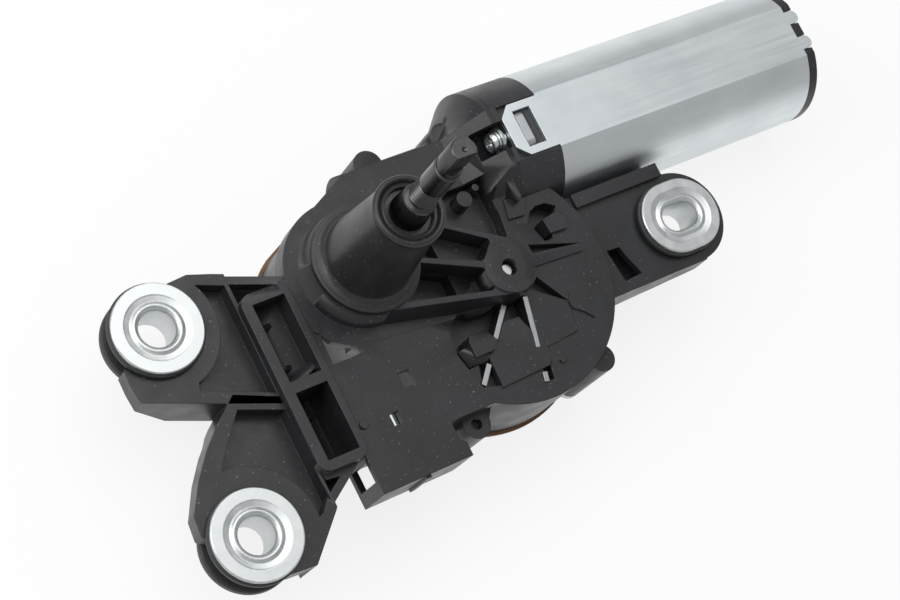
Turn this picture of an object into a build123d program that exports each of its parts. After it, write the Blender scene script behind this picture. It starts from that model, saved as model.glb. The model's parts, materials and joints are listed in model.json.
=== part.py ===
from build123d import *
import math
import os

os.makedirs("parts", exist_ok=True)

# A rear wiper gear motor: a zinc-plated motor can drives a worm, the worm turns a
# wheel, and a toothed lever in a moulded housing swings the output shaft to and fro.
# Frame: origin where the output shaft's axis crosses the plane of the mounting
# sleeves' front faces, +Z out along the shaft, +X along the motor can. Millimetres.

# Driving dimensions
FIT = 0.3            # gap between loose neighbours
RUN = 0.05           # radial running gap of a shaft in its bush
SEAT = 0.02          # radial gap of a pushed-in seat
WALL = 2.4           # moulded wall

# Levels along the output shaft
PLATE_Z = -2.0       # front plate of the housing
RIM_Z = 0.0          # rim of the left frame
STEP_Z = 5.6         # tower base and spine
HUB_Z = 6.0          # top of the wheel hub
CAVITY_Z = -9.8      # roof of the gear cavity
CASE_Z = -30.0       # back edge of the gear case
GASKET_T = 1.0
COVER_T = 2.0

# Mounting sleeves on the left, and the slotted one on the right
SLEEVE_X = -61.8
SLEEVE_Y1 = 4.1
SLEEVE_PITCH = 61.7
SLOT_X = 106.5
SLOT_Y = -20.5
SLEEVE_FLANGE_R = 13.0
SLEEVE_FLANGE_T = 1.4
SLEEVE_BORE_R = 5.2
SLEEVE_TUBE_T = 1.6
SLEEVE_H = 12.5
SLOT_SHIFT = 2.1     # half the centre distance of the slot's two round ends
SLOT_FLANGE_R = 11.4
SLOT_BORE_R = 4.1
RUBBER_OVER = 0.6    # rubber lip beyond the sleeve's flange
RUBBER_LIP_T = 2.0
EYE_T = 5.6          # thickness of a bracket eye
EYE_R = 16.0

# Gear train
MODULE = 1.25
WHEEL_TEETH = 50
WHEEL_X = 40.6
WHEEL_T = 8.0
WORM_PITCH_R = 6.25
WORM_WAVE = 1.1      # height of the worm thread above its mean radius
WORM_LEN = 15.0
WHEEL_R = MODULE * WHEEL_TEETH / 2
WORM_LEAD = math.pi * MODULE

# Motor
CAN_R = 22.2
CAN_FLAT = 20.3
CAN_T = 1.5
CAN_X0 = 76.0
CAN_X1 = 175.5
CAN_Y = 20.4
CAN_Z = -15.0
COLLAR_X0 = 60.0
WHEEL_Y = CAN_Y - WORM_PITCH_R - WHEEL_R
SHAFT_R = 3.0        # armature shaft
CORE_R = 16.8
CORE_X0 = 104.0
CORE_X1 = 152.0

# Output shaft, pinion and link
OUT_R = 5.0
OUT_TIP_Z = 80.6
PINION_TEETH = 12
SECTOR_TEETH = 20
PINION_R = MODULE * PINION_TEETH / 2
SECTOR_R = MODULE * SECTOR_TEETH / 2
LINK_LEN = PINION_R + SECTOR_R
LEVER_LEN = 38.0
CRANK_R = 8.0
LEVER_Z0 = -25.5
LEVER_T = 4.0
LINK_T = 2.0
LINK_GAP = 0.6

# Tower and boot
TOWER_R = 9.0
TOWER_TOP_Z = 38.5
BOOT_FLANGE_R = 16.2
BOOT_FLANGE_Z = 7.6
BOOT_TOP_Z = 42.6
BOOT_TOP_R = 10.2
STEP_R = 21.6

# Case
CASE_X = 39.7
CASE_Y = -18.8
CASE_R = 37.0
TOWER_CASE_R = 20.5


def prism(sketch, z0, z1):
    """A flat outline made solid between two levels."""
    return extrude(Pos(0, 0, z0) * sketch, amount=z1 - z0)


def shape(points):
    """A flat face through the given corners."""
    return make_face(Polyline(*points, close=True))


def block(x0, x1, y0, y1, z0, z1):
    return Pos((x0 + x1) / 2, (y0 + y1) / 2, (z0 + z1) / 2) * Box(x1 - x0, y1 - y0, z1 - z0)


def post(radius, x, y, z0, z1):
    return Pos(x, y, (z0 + z1) / 2) * Cylinder(radius, z1 - z0)


def rod_x(radius, x0, x1, y=CAN_Y, z=CAN_Z):
    return Pos((x0 + x1) / 2, y, z) * Rot(0, 90, 0) * Cylinder(radius, x1 - x0)


def save(solid, name):
    solid.label = name
    export_step(solid, "parts/" + name + ".step")


def case_outline(inset=0.0):
    """Outline of the gear case: round the wheel, round the shaft, and the worm channel."""
    wheel_round = Pos(CASE_X, CASE_Y) * Circle(CASE_R - inset)
    shaft_round = Circle(TOWER_CASE_R - inset)
    reach = CAN_Y + 7.2
    channel = shape([(-9.7, 18.1), (9.8, reach), (COLLAR_X0 - 8, reach),
                     (COLLAR_X0 - 8, -5), (0, -20)])
    if inset:
        channel = offset(channel, -inset, kind=Kind.INTERSECTION)
    return wheel_round + shaft_round + channel


def can_profile(radius, flat):
    """The motor's section: a round with a flat above and below, looking along X."""
    return Circle(radius) & Rectangle(2 * flat, 2 * radius)


def along_can(sketch, x0, x1):
    """A section of the can made solid between two places along it."""
    plane = Plane(origin=(x0, CAN_Y, CAN_Z), x_dir=(0, 0, 1), z_dir=(1, 0, 0))
    return extrude(plane * sketch, amount=x1 - x0)


def eye_outline(x, y, radius, shift=0.0):
    if shift:
        return Pos(x, y) * SlotCenterToCenter(2 * shift, 2 * radius)
    return Pos(x, y) * Circle(radius)


EYE_TOP = -SLEEVE_FLANGE_T - RUBBER_LIP_T
EYE_BACK = EYE_TOP - EYE_T
ARM_BACK = -13.0
ARM_FLOOR = -8.0
SLEEVE_Y2 = SLEEVE_Y1 - SLEEVE_PITCH
NECK_R = SLEEVE_BORE_R + SLEEVE_TUBE_T + 2.6
SLOT_NECK_R = SLOT_BORE_R + SLEEVE_TUBE_T + 2.4
LIP_R = SLEEVE_FLANGE_R + RUBBER_OVER
SLOT_LIP_R = SLOT_FLANGE_R + RUBBER_OVER
FRAME = (-37.5, -22.0, -50.0, 4.0)


def arm(outline, eye_y, ribs):
    """One bracket arm: a walled tray with a thick eye for a rubber grommet."""
    rim = EYE_TOP
    solid = prism(outline + eye_outline(SLEEVE_X, eye_y, EYE_R), ARM_BACK, rim)
    tray = offset(outline, -WALL, kind=Kind.INTERSECTION) - eye_outline(SLEEVE_X, eye_y, EYE_R)
    solid -= prism(tray, ARM_FLOOR, rim + 1)
    under = offset(outline, -WALL, kind=Kind.INTERSECTION) - eye_outline(SLEEVE_X, eye_y, EYE_R)
    solid -= prism(under, ARM_BACK - 1, ARM_FLOOR - WALL)
    solid -= post(LIP_R + FIT, SLEEVE_X, eye_y, ARM_BACK - 1, EYE_BACK)
    for rib in ribs:
        solid += prism(shape(rib), ARM_BACK, rim - 0.8)
    return solid


def left_arms():
    """The two arms that leave the left frame."""
    left = SLEEVE_X - EYE_R
    upper = shape([(-48.8, 16.3), (-19, 5.4), (-20, -20), (-38, -26.5), (-56.8, -25.7),
                   (left, -13.9), (left, 4.1), (-61.8, 4.1)])
    lower = shape([(-61.8, -57.6), (left, -57.6), (left, -46.6), (-57.2, -25.7), (-38, -25.0),
                   (-34, -49), (-25, -50.2), (-36.7, -57.7), (-49.2, -70.9)])
    upper_ribs = [[(-57, -16.9), (-41, -22.2), (-41, -23.6), (-57, -18.3)]]
    lower_ribs = [[(-52, -24.2), (-40, -28.6), (-40, -30.2), (-52, -25.8)],
                  [(-63, -37.5), (-52, -40.5), (-47, -46), (-48.2, -47), (-53, -41.8), (-63, -38.9)]]
    return (arm(upper, SLEEVE_Y1, upper_ribs) + arm(lower, SLEEVE_Y2, lower_ribs))


def left_frame():
    """The raised frame with two deep pockets."""
    x0, x1, y0, y1 = FRAME
    outline = Pos((x0 + x1) / 2, (y0 + y1) / 2) * RectangleRounded(x1 - x0, y1 - y0, 3.6)
    solid = prism(outline, -20, RIM_Z)
    pocket_x = (x0 + 3.2, x1 - 2.2)
    floor = -20 + WALL
    solid -= block(*pocket_x, -23.2, y1 - 3.4, floor, RIM_Z + 1)
    solid -= block(*pocket_x, y0 + 3.0, -26.6, floor, RIM_Z + 1)
    for y in (-19.0, -6.0):
        solid += block(pocket_x[0], pocket_x[0] + 4.6, y, y + 1.4, floor, RIM_Z - 5)
    solid += block(pocket_x[0], pocket_x[0] + 4.6, -34, -32.6, floor, RIM_Z - 5)
    return solid


CONN_Y = -61.4
CONN_X0 = -23.0
CONN_X1 = 6.8
CONN_BACK = -18.0
CONN_STEP_Y = -50.4


def front_plate():
    """The plate between frame and gear case, with a wall round its edge, and the plug box."""
    outline = shape([(CONN_X0, 5), (CONN_X0, CONN_Y), (CONN_X1, CONN_Y), (CONN_X1, -57.2),
                     (5.2, -56), (5.2, CONN_STEP_Y), (22, CONN_STEP_Y), (22, 0)])
    solid = prism(outline, CONN_BACK, PLATE_Z)
    inside = offset(outline, -2.0, kind=Kind.INTERSECTION)
    solid -= prism(inside, CONN_BACK - 1, PLATE_Z - WALL)
    # cross wall between the board room and the plug box
    solid += block(CONN_X0, CONN_X1, CONN_STEP_Y, CONN_STEP_Y + 1.8, CONN_BACK, PLATE_Z - 1)
    # see-through window in the box's left wall
    solid -= block(CONN_X0 - 1, CONN_X0 + 3, -57.2, CONN_STEP_Y - 0.6, CONN_BACK + 2.2, PLATE_Z - 2.0)
    # latch rib on the box's outer wall
    solid += Pos(-8, CONN_Y, CONN_BACK / 2 - 1) * Box(1.6, 1.6, 14)
    return solid


def plate_windows():
    """Openings of the front plate: triangle, latch window and square window."""
    depth = (CONN_BACK - 1, PLATE_Z + 1)
    cut = prism(shape([(-19.2, -13), (-17.0, -16.6), (-9.4, -21.2), (-9.4, -22.8), (-19.5, -22.8)]), *depth)
    cut += block(-3.2, 0.8, -36.6, -32.0, *depth)
    cut += block(-11.0, -8.0, -45.2, -41.6, *depth)
    return cut


def spine():
    """The raised tower base, the wheel hub and the ribs between them."""
    base = prism(Circle(STEP_R), CAVITY_Z, STEP_Z)
    base = chamfer(base.faces().sort_by(Axis.Z)[-1].edges(), 1.2)
    web = shape([(-4, 17), (11, 16.2), (40, -8.6), (46.8, -12), (47, -20.5), (41, -25.0), (34.6, -25.2),
                 (-10.9, -20.0)])
    base += prism(web, CAVITY_Z, STEP_Z - 0.2)
    base += post(7.7, WHEEL_X, WHEEL_Y, CAVITY_Z, HUB_Z)
    return base


POCKET_Z = -7.4


def spine_pockets():
    """Deep pockets between the ribs that run from the tower to the hub."""
    cut = prism(shape([(6, -17.2), (32.2, -22.2), (33.8, -15.2), (16.6, -7.2), (12.8, -11.6)]),
                POCKET_Z, HUB_Z + 1)
    cut += prism(shape([(18.2, -4.3), (33.8, -11.8), (38.2, -9.6), (26.2, -1.1), (18.6, 3.4)]),
                 POCKET_Z, HUB_Z + 1)
    cut += prism(shape([(19.6, 7.2), (39.6, -6.9), (45.5, -9.4), (50.2, 1.5), (50.2, 12.4), (24, 12.4)]),
                 POCKET_Z, HUB_Z + 1)
    cut -= post(17.0, 0, 0, POCKET_Z - 1, HUB_Z + 2)
    return cut


def fan_pocket():
    """The fan-shaped recess below the hub."""
    cut = prism(shape([(39.0, -25.2), (45.6, -24.1), (41.6, -40.0), (39.2, -39.6), (37.0, -34),
                       (30.4, -33.2), (20.4, -31), (19.4, -29.2), (22, -26.4), (34, -25.4)]),
                POCKET_Z, PLATE_Z + 1)
    cut += prism(shape([(20.4, -37.6), (24.6, -38.2), (26.4, -47.6), (19.8, -44.4)]), -5.0, PLATE_Z + 1)
    cut += prism(shape([(39.0, -47.2), (41.4, -47.2), (41.0, -50.6), (39.0, -50.4)]), -5.0, PLATE_Z + 1)
    return cut


STRIP_W = 1.7
STRIP_T = 0.6
STRIP_Z = -4.0
STRIP_ROOM = 0.1


def strip_face(x_out, y_out, near, far, room=0.0):
    """A narrow radial strip that points at the wheel's axis."""
    dx = x_out - WHEEL_X
    dy = y_out - WHEEL_Y
    reach = math.hypot(dx, dy)
    angle = math.degrees(math.atan2(dy, dx))
    length = (far - near) * reach
    middle = (far + near) / 2
    return (Pos(WHEEL_X + dx * middle, WHEEL_Y + dy * middle) * Rot(0, 0, angle)
            * Rectangle(length + 2 * room, STRIP_W + 2 * room))


STRIPS = [(20.8, -44.2, 0.26, 0.55), (20.8, -44.2, 0.78, 1.0),
          (39.9, -50.2, 0.21, 0.69), (39.9, -50.2, 0.905, 1.0)]


DETAIL_Z0 = POCKET_Z - 0.6


def raised_details():
    """Pads, blocks and bumps on the front plate."""
    pad = shape([(35.0, -30.2), (39.6, -30.5), (40.2, -39.6), (44.0, -41.4), (43.0, -46.9),
                 (26.2, -46.9), (25.2, -46.2), (25.2, -38.0), (29.0, -36.9), (29.8, -33.6)])
    solid = prism(pad, DETAIL_Z0, PLATE_Z + 0.9)
    solid += prism(shape([(22.0, -31.2), (29.1, -30.6), (30.2, -34.7), (28.3, -36.9), (22.4, -36.7)]),
                   DETAIL_Z0, PLATE_Z + 1.6)
    solid += prism(shape([(17.3, -33.0), (21.8, -33.0), (21.8, -37.6), (18.2, -38.0)]),
                   DETAIL_Z0, PLATE_Z + 0.6)
    panel = shape([(48.1, -24.2), (56.5, -31.0), (57.0, -36.0), (55.2, -41.1), (44.6, -41.1),
                   (42.6, -40.2), (46.6, -24.6)])
    solid += prism(panel, DETAIL_Z0, PLATE_Z + 0.5)
    solid += block(63.2, 68.4, -10.6, -4.8, DETAIL_Z0, PLATE_Z + 0.8)
    for x, y, foot in ((47.2, -46.1, DETAIL_Z0), (-19.4, -13.0, -4), (-19.5, -41.5, -4), (48.9, 11.0, DETAIL_Z0)):
        solid += post(1.1, x, y, foot, PLATE_Z + 0.9)
    # low ribs to the right of the hub
    solid += prism(shape([(48.0, -15.2), (69.0, -16.6), (69.0, -17.8), (48.0, -17.4)]), -4, PLATE_Z + 0.9)
    return solid


def right_recesses():
    """Shallow recesses to the right of the hub."""
    cut = prism(shape([(53.4, -9.6), (69.8, -16.2), (54.6, -15.0)]), -5.5, PLATE_Z + 1)
    cut += prism(shape([(51.8, -22.6), (49.4, -23.9), (57.0, -30.2), (57.9, -35.2), (60.5, -37.0),
                        (58.8, -31.6)]), -5.5, PLATE_Z + 1)
    cut += block(58.2, 62.8, -11.4, -3.6, -5.5, PLATE_Z + 1)
    return cut


BRACKET_Z = -4.0
BRACKET_BACK = -18.0


def right_bracket():
    """The right arm with the slotted eye, open at the back."""
    root = 60.0
    outline = shape([(root, -2.1), (108.5, -2.1), (110.5, -7.5), (114, -20), (113, -31.8),
                     (110, -35.6), (root, -35.6)])
    eye = eye_outline(SLOT_X, SLOT_Y, EYE_R - 1.2, SLOT_SHIFT)
    solid = prism(outline + eye, BRACKET_BACK, BRACKET_Z)
    hollow = offset(outline, -WALL, kind=Kind.INTERSECTION) - eye
    solid -= prism(hollow, BRACKET_BACK - 1, BRACKET_Z - WALL)
    lean = Plane.XZ * shape([(82, BRACKET_BACK - 1), (82, BRACKET_BACK), (112, ARM_BACK + 1.0),
                             (130, ARM_BACK + 1.0), (130, BRACKET_BACK - 1)])
    solid -= extrude(lean, amount=60, both=True)
    solid += block(75.6, 108.3, -6.4, -2.1, BRACKET_Z - 1, PLATE_Z)
    solid -= prism(eye_outline(SLOT_X, SLOT_Y, SLOT_LIP_R + FIT, SLOT_SHIFT), BRACKET_BACK - 1, EYE_BACK)
    solid -= prism(eye_outline(SLOT_X, SLOT_Y, SLOT_LIP_R + FIT, SLOT_SHIFT), EYE_TOP, 0)
    solid -= prism(shape([(78.9, -21.6), (83.6, -21.9), (84.6, -26), (86.6, -31.8), (80.0, -32.2)]),
                   BRACKET_BACK - 1, 0)
    return solid


BOSSES = [(14.8, -53.2, 4.4), (62.0, -50.2, 4.2), (21.4, 29.0, 4.6), (48.8, 29.6, 4.4)]
BOSS_TOP = -7.0
SCREW_GRIP = 9.0     # length of a cover screw in its boss
SCREW_R = 1.4


def boss_outline(x, y, radius):
    """A boss's round with a web that runs to the case wall."""
    angle = math.degrees(math.atan2(CASE_Y - y, CASE_X - x))
    web = Pos(x, y) * Rot(0, 0, angle) * Pos(3.5, 0) * Rectangle(7, 1.6 * radius)
    return Pos(x, y) * Circle(radius) + web


AXLE_R = 3.0
FRONT_BUSH_R = 4.4
BUSH_WEB_Z = -20.6   # the lever sweeps below this
AXLE_TIP_R = 2.2
AXLE_TOP = 3.4
HUB_HOLE_R = 2.5
BUSH_R = 7.0
BEARING_R = 6.5
WORM_ROOM_R = WORM_PITCH_R + WORM_WAVE + 0.85
FLARE_X0 = 44.0
COVER_X1 = 50.0      # cover's straight end at the motor
GASKET_OUT = 0.9
COVER_Z0 = CAN_Z - CAN_FLAT
EAR_Z0 = CASE_Z - GASKET_T - COVER_T
HEAD_R = 2.6         # cover screw head
SCREW_Y = CAN_Y
SCREW_Z = 1.4
SCREW_HEAD_R = 3.3
BUSH_X = (14.0, 20.0)
BEARING_X = (54.0, 59.0)


def cover_reach(extra=0.0):
    """Plan area by the motor that gasket and cover fill: wheel round and screw ears."""
    reach = Pos(CASE_X, CASE_Y) * Circle(CASE_R + extra)
    for x, y, radius in BOSSES:
        reach += boss_outline(x, y, radius + extra)
    return reach


def flare_room():
    """The plan area that the motor flare takes from gasket and cover."""
    room = shape([(COVER_X1, -3), (90, -3), (90, 50), (COVER_X1, 50)])
    return room - cover_reach()


def motor_flare():
    """The housing's fan-shaped transition from the worm channel to the motor collar."""
    start = Plane(origin=(FLARE_X0, CAN_Y, CAN_Z), x_dir=(0, 0, 1), z_dir=(1, 0, 0))
    end = Plane(origin=(COLLAR_X0 - 2, CAN_Y, CAN_Z), x_dir=(0, 0, 1), z_dir=(1, 0, 0))
    low = CASE_Z - CAN_Z
    high = PLATE_Z - CAN_Z
    first = start * Pos((low + high) / 2, 4.6) * Rectangle(high - low, 23.6)
    solid = loft([first.face(), (end * can_profile(CAN_R, CAN_FLAT)).face()])
    solid += along_can(can_profile(CAN_R, CAN_FLAT), COLLAR_X0 - 2, COLLAR_X0)
    edge = GASKET_OUT + FIT
    below = cover_reach(edge) + Pos(COVER_X1 + edge - 20, CAN_Y) * Rectangle(40, 60)
    return solid - prism(below, COVER_Z0 - 1, CASE_Z)


def gear_housing():
    """The black moulding: brackets, frame, plug box, gear case, tower and ribs in one piece."""
    outline = case_outline()
    body = prism(outline, CASE_Z, PLATE_Z)
    body += motor_flare()
    for x, y, radius in BOSSES:
        body += prism(boss_outline(x, y, radius), CASE_Z, BOSS_TOP)
    body += rod_x(WORM_ROOM_R + WALL, BUSH_X[0] - 2, COLLAR_X0)
    body += front_plate() + left_frame() + left_arms() + right_bracket() + spine()
    body -= prism(case_outline(WALL) - flare_room(), CASE_Z - 1, CAVITY_Z)
    body -= rod_x(WORM_ROOM_R, FLARE_X0, COLLAR_X0 + 1)
    # webs that hold the two shaft bearings
    for x0, x1, foot in ((*BUSH_X, BUSH_WEB_Z), (*BEARING_X, CASE_Z + 4)):
        body += block(x0, x1, CAN_Y - BEARING_R - 0.7, CAN_Y + 6, foot, CAVITY_Z + 1)
    body -= rod_x(FRONT_BUSH_R, BUSH_X[0] - 1, BUSH_X[1] + 1)
    body -= rod_x(BEARING_R, BEARING_X[0] - 1, BEARING_X[1] + 1)
    body -= rod_x(WORM_ROOM_R, BUSH_X[1], BEARING_X[0])
    body += post(TOWER_R, 0, 0, CAVITY_Z, TOWER_TOP_Z)
    body += post(AXLE_R + 3, WHEEL_X, WHEEL_Y, CAVITY_Z - 0.6, CAVITY_Z)
    body -= spine_pockets() + fan_pocket() + right_recesses() + plate_windows()
    body += raised_details()
    for strip in STRIPS:
        body -= prism(strip_face(*strip, STRIP_ROOM), STRIP_Z - STRIP_T, HUB_Z)
        body += prism(strip_face(*strip), DETAIL_Z0, STRIP_Z - STRIP_T)
    body += post(2.5, 43.3, 8.7, DETAIL_Z0, -3.5)
    body -= post(BUSH_R, 0, 0, CASE_Z, TOWER_TOP_Z + 1)
    body -= post(AXLE_R, WHEEL_X, WHEEL_Y, CASE_Z, 0.0)
    body -= post(HUB_HOLE_R, WHEEL_X, WHEEL_Y, -1, HUB_Z + 1)
    # through holes of the eyes
    for y in (SLEEVE_Y1, SLEEVE_Y2):
        body -= post(NECK_R + FIT, SLEEVE_X, y, -20, 1)
    body -= prism(eye_outline(SLOT_X, SLOT_Y, SLOT_NECK_R + FIT, SLOT_SHIFT), -20, 1)
    # open slot for the clamp screw's head
    body -= block(51.0, COLLAR_X0 + 1, SCREW_Y - 4.4, SCREW_Y + 4.4, SCREW_Z - 4.4, 8)
    for x, y, radius in BOSSES:
        body -= post(SCREW_R, x, y, CASE_Z - 1, CASE_Z + SCREW_GRIP + 0.5)
    return body


def cover_outline(inset=0.0):
    """The case outline, less the part that the motor flare takes."""
    return case_outline(inset) - offset(flare_room(), max(inset, 0), kind=Kind.INTERSECTION)




def cover_gasket():
    """The flat seal between case and cover; its edge shows all round."""
    ring = case_outline(-GASKET_OUT)
    for x, y, radius in BOSSES:
        ring += boss_outline(x, y, radius)
    ring -= flare_room()
    ring -= cover_outline(WALL - 0.2)
    solid = prism(ring, CASE_Z - GASKET_T, CASE_Z)
    for x, y, radius in BOSSES:
        solid -= post(SCREW_R + FIT, x, y, CASE_Z - 5, CASE_Z + 1)
    return solid


def rear_cover():
    """The pan that closes the case at the back, with an ear for each screw."""
    top = CASE_Z - GASKET_T
    solid = prism(cover_outline(), COVER_Z0, top)
    for x, y, radius in BOSSES:
        solid += prism(boss_outline(x, y, radius), EAR_Z0, top)
    solid -= prism(cover_outline(WALL), COVER_Z0 + COVER_T, top + 1)
    for x, y, radius in BOSSES:
        solid -= post(SCREW_R + FIT, x, y, COVER_Z0 - 1, top + 1)
        solid -= post(HEAD_R + FIT, x, y, COVER_Z0 - 1, EAR_Z0)
    return solid


def cover_screws():
    """Pan-head screws that hold the cover on, with plain shanks."""
    group = []
    for x, y, radius in BOSSES:
        head = post(HEAD_R, x, y, EAR_Z0 - 1.9, EAR_Z0)
        head = chamfer(head.faces().sort_by(Axis.Z)[0].edges(), 0.6)
        shank = post(SCREW_R - SEAT, x, y, EAR_Z0, CASE_Z + SCREW_GRIP)
        group.append(head + shank)
    return Compound(children=group)


def pocket_strips():
    """Light metal strips laid on the radial ribs below the hub."""
    group = [prism(strip_face(*strip), STRIP_Z - STRIP_T, STRIP_Z) for strip in STRIPS]
    return Compound(children=group)


def motor_collar():
    """The moulded end frame between housing and can, with a recess for the can's tab."""
    solid = along_can(can_profile(CAN_R, CAN_FLAT), COLLAR_X0, CAN_X0)
    solid += along_can(can_profile(CAN_R - CAN_T - 0.1, CAN_FLAT - CAN_T - 0.1), CAN_X0, CAN_X0 + 5)
    solid -= along_can(can_profile(CAN_R - 4, CAN_FLAT - 4), COLLAR_X0 + 4, CAN_X0 + 6)
    solid -= rod_x(SHAFT_R + 2, COLLAR_X0 - 1, COLLAR_X0 + 5)
    wheel_case = Pos(CASE_X, CASE_Y)
    solid -= prism(wheel_case * Circle(CASE_R + RUN), CASE_Z, PLATE_Z)
    solid -= prism(wheel_case * Circle(CASE_R + GASKET_OUT + FIT), COVER_Z0 - 1, CASE_Z)
    top = CAN_Z + CAN_FLAT
    solid -= block(TAB_X0 - FIT, CAN_X0, CAN_Y - TAB_W / 2 - FIT, CAN_Y + TAB_W / 2 + FIT,
                   top - CAN_T - 0.1, top + 1)
    solid += block(NUT_X0 - 1.6, NUT_X0 + NUT_T + 1.6, CAN_Y - NUT_W / 2 - 1.6, CAN_Y + NUT_W / 2 + 1.6,
                   SCREW_Z - 5.6, top - CAN_T - 0.1)
    solid -= block(NUT_X0 - SEAT, NUT_X0 + NUT_T + FIT, CAN_Y - NUT_W / 2 - SEAT, CAN_Y + NUT_W / 2 + SEAT,
                   SCREW_Z - 4.0 - SEAT, top + 1)
    solid -= rod_x(2.1, COLLAR_X0 - 1, NUT_X0 + NUT_T + 8, SCREW_Y, SCREW_Z)
    solid -= block(COLLAR_X0 - 1, TAB_X0, SCREW_Y - 4.4, SCREW_Y + 4.4, SCREW_Z, top + 1)
    return solid


TAB_X0 = 61.8
TAB_W = 16.8
TAB_CHAMFER = 3.6
NUT_X0 = 66.4
NUT_T = 2.8
NUT_W = 11.4
TAB_SLOT_X = (66.1, 72.4)
TAB_SLOT_W = 11.9


def motor_can():
    """The drawn steel can: a double-flatted tube with a slotted tab and two rear lugs."""
    solid = along_can(can_profile(CAN_R, CAN_FLAT), CAN_X0, CAN_X1)
    solid -= along_can(can_profile(CAN_R - CAN_T, CAN_FLAT - CAN_T), CAN_X0 - 1, CAN_X1 + 1)
    top = CAN_Z + CAN_FLAT
    half = TAB_W / 2
    tab = shape([(CAN_X0 + 1, CAN_Y - half), (TAB_X0 + TAB_CHAMFER, CAN_Y - half),
                 (TAB_X0, CAN_Y - half + TAB_CHAMFER), (TAB_X0, CAN_Y + half - TAB_CHAMFER),
                 (TAB_X0 + TAB_CHAMFER, CAN_Y + half), (CAN_X0 + 1, CAN_Y + half)])
    solid += prism(tab, top - CAN_T, top)
    solid -= block(*TAB_SLOT_X, CAN_Y - TAB_SLOT_W / 2, CAN_Y + TAB_SLOT_W / 2, top - 3, top + 1)
    for side in (-1, 1):
        lug = Pos(CAN_X1 + 2.2, CAN_Y + side * 4.6) * Circle(2.2)
        lug += Pos(CAN_X1 + 0.6, CAN_Y + side * 4.6) * Rectangle(3.2, 4.4)
        solid += prism(lug, top - CAN_T, top)
    return solid


END_T = 3.3


def end_cap():
    """The black ring-shaped cap at the far end, with the rear bearing's seat."""
    solid = along_can(can_profile(CAN_R, CAN_FLAT), CAN_X1, CAN_X1 + END_T)
    solid += along_can(can_profile(CAN_R - CAN_T - 0.1, CAN_FLAT - CAN_T - 0.1), CAN_X1 - 4, CAN_X1)
    solid -= along_can(can_profile(CAN_R - 4, CAN_FLAT - 4), CAN_X1 - 5, CAN_X1)
    solid += rod_x(BEARING_R + 2, CAN_X1 - 6, CAN_X1)
    solid -= rod_x(BEARING_R, CAN_X1 - 7, CAN_X1 - 1)
    top = CAN_Z + CAN_FLAT
    for side in (-1, 1):
        middle = CAN_Y + side * 4.6
        solid -= block(CAN_X1 - 1, CAN_X1 + END_T + 1, middle - 2.4, middle + 2.4, top - CAN_T - 0.1, top + 1)
    return solid


def clamp_screw():
    """The star-drive screw that pulls collar and tab together, along X."""
    head = rod_x(SCREW_HEAD_R, 56.0, 58.4, SCREW_Y, SCREW_Z)
    head = fillet(head.edges().sort_by(Axis.X)[0], 0.9)
    flange = rod_x(3.9, 58.4, COLLAR_X0, SCREW_Y, SCREW_Z)
    shank = rod_x(2.0, COLLAR_X0, NUT_X0 + NUT_T + 3, SCREW_Y, SCREW_Z)
    recess = Plane(origin=(56.0, SCREW_Y, SCREW_Z), x_dir=(0, 1, 0), z_dir=(1, 0, 0)) * RegularPolygon(1.7, 6)
    return head + flange + shank - extrude(recess, amount=1.6)


def clamp_nut():
    """The flat nut that sits in the collar under the tab's slot."""
    plane = Plane(origin=(NUT_X0, CAN_Y, 0), x_dir=(0, 1, 0), z_dir=(1, 0, 0))
    top = CAN_Z + CAN_FLAT - 0.2
    low = SCREW_Z - 4.0
    face = plane * Pos(0, (top + low) / 2) * RectangleRounded(NUT_W, top - low, 2.0)
    return extrude(face, amount=NUT_T) - rod_x(2.02, NUT_X0 - 1, NUT_X0 + NUT_T + 1, SCREW_Y, SCREW_Z)


def magnets():
    """Two arc magnets against the can's round sides."""
    ring = Circle(CAN_R - CAN_T - 0.1) - Circle(CORE_R + 0.7)
    group = []
    for side in (-1, 1):
        wedge = shape([(0, 0), (30, side * 40), (-30, side * 40)])
        sector = (ring & wedge) & Rectangle(2 * (CAN_FLAT - CAN_T - 0.1), 60)
        group.append(along_can(sector, CORE_X0 - 2, CORE_X1 + 2))
    return Compound(children=group)


def armature_core():
    """The slotted iron core."""
    section = Circle(CORE_R)
    for index in range(10):
        slot = Rot(0, 0, 36 * index) * (Pos(11.2, 0) * Rectangle(6.0, 4.0) + Pos(15.5, 0) * Rectangle(4, 1.2))
        section -= slot
    section -= Circle(SHAFT_R + SEAT)
    return along_can(section, CORE_X0, CORE_X1)


def armature_windings():
    """End turns at both ends of the core and the wire in its slots."""
    group = None
    for x0, x1 in ((CORE_X0 - 7, CORE_X0), (CORE_X1, CORE_X1 + 7)):
        ring = along_can(Circle(14.0) - Circle(7.6), x0, x1)
        ring = fillet(ring.edges().filter_by(GeomType.CIRCLE).group_by(Axis.X)[0 if x0 < CORE_X0 else -1], 1.8)
        group = ring if group is None else group + ring
    for index in range(10):
        bar = Rot(0, 0, 36 * index) * Pos(11.2, 0) * Rectangle(5.8, 3.8)
        group += along_can(bar, CORE_X0 - 1, CORE_X1 + 1)
    return group


COMM_R = 9.0
COMM_X = (85.0, 97.0)


def commutator():
    """Copper bars round the shaft where the brushes run."""
    section = Circle(COMM_R) - Circle(SHAFT_R + SEAT)
    for index in range(10):
        section -= Rot(0, 0, 36 * index + 18) * Pos(COMM_R - 0.6, 0) * Rectangle(2.4, 0.5)
    return along_can(section, *COMM_X)


def armature_shaft():
    """The long steel shaft from the worm's nose to the rear bearing."""
    return rod_x(SHAFT_R, BUSH_X[0] + 0.5, CAN_X1 - 1.5)


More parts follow.
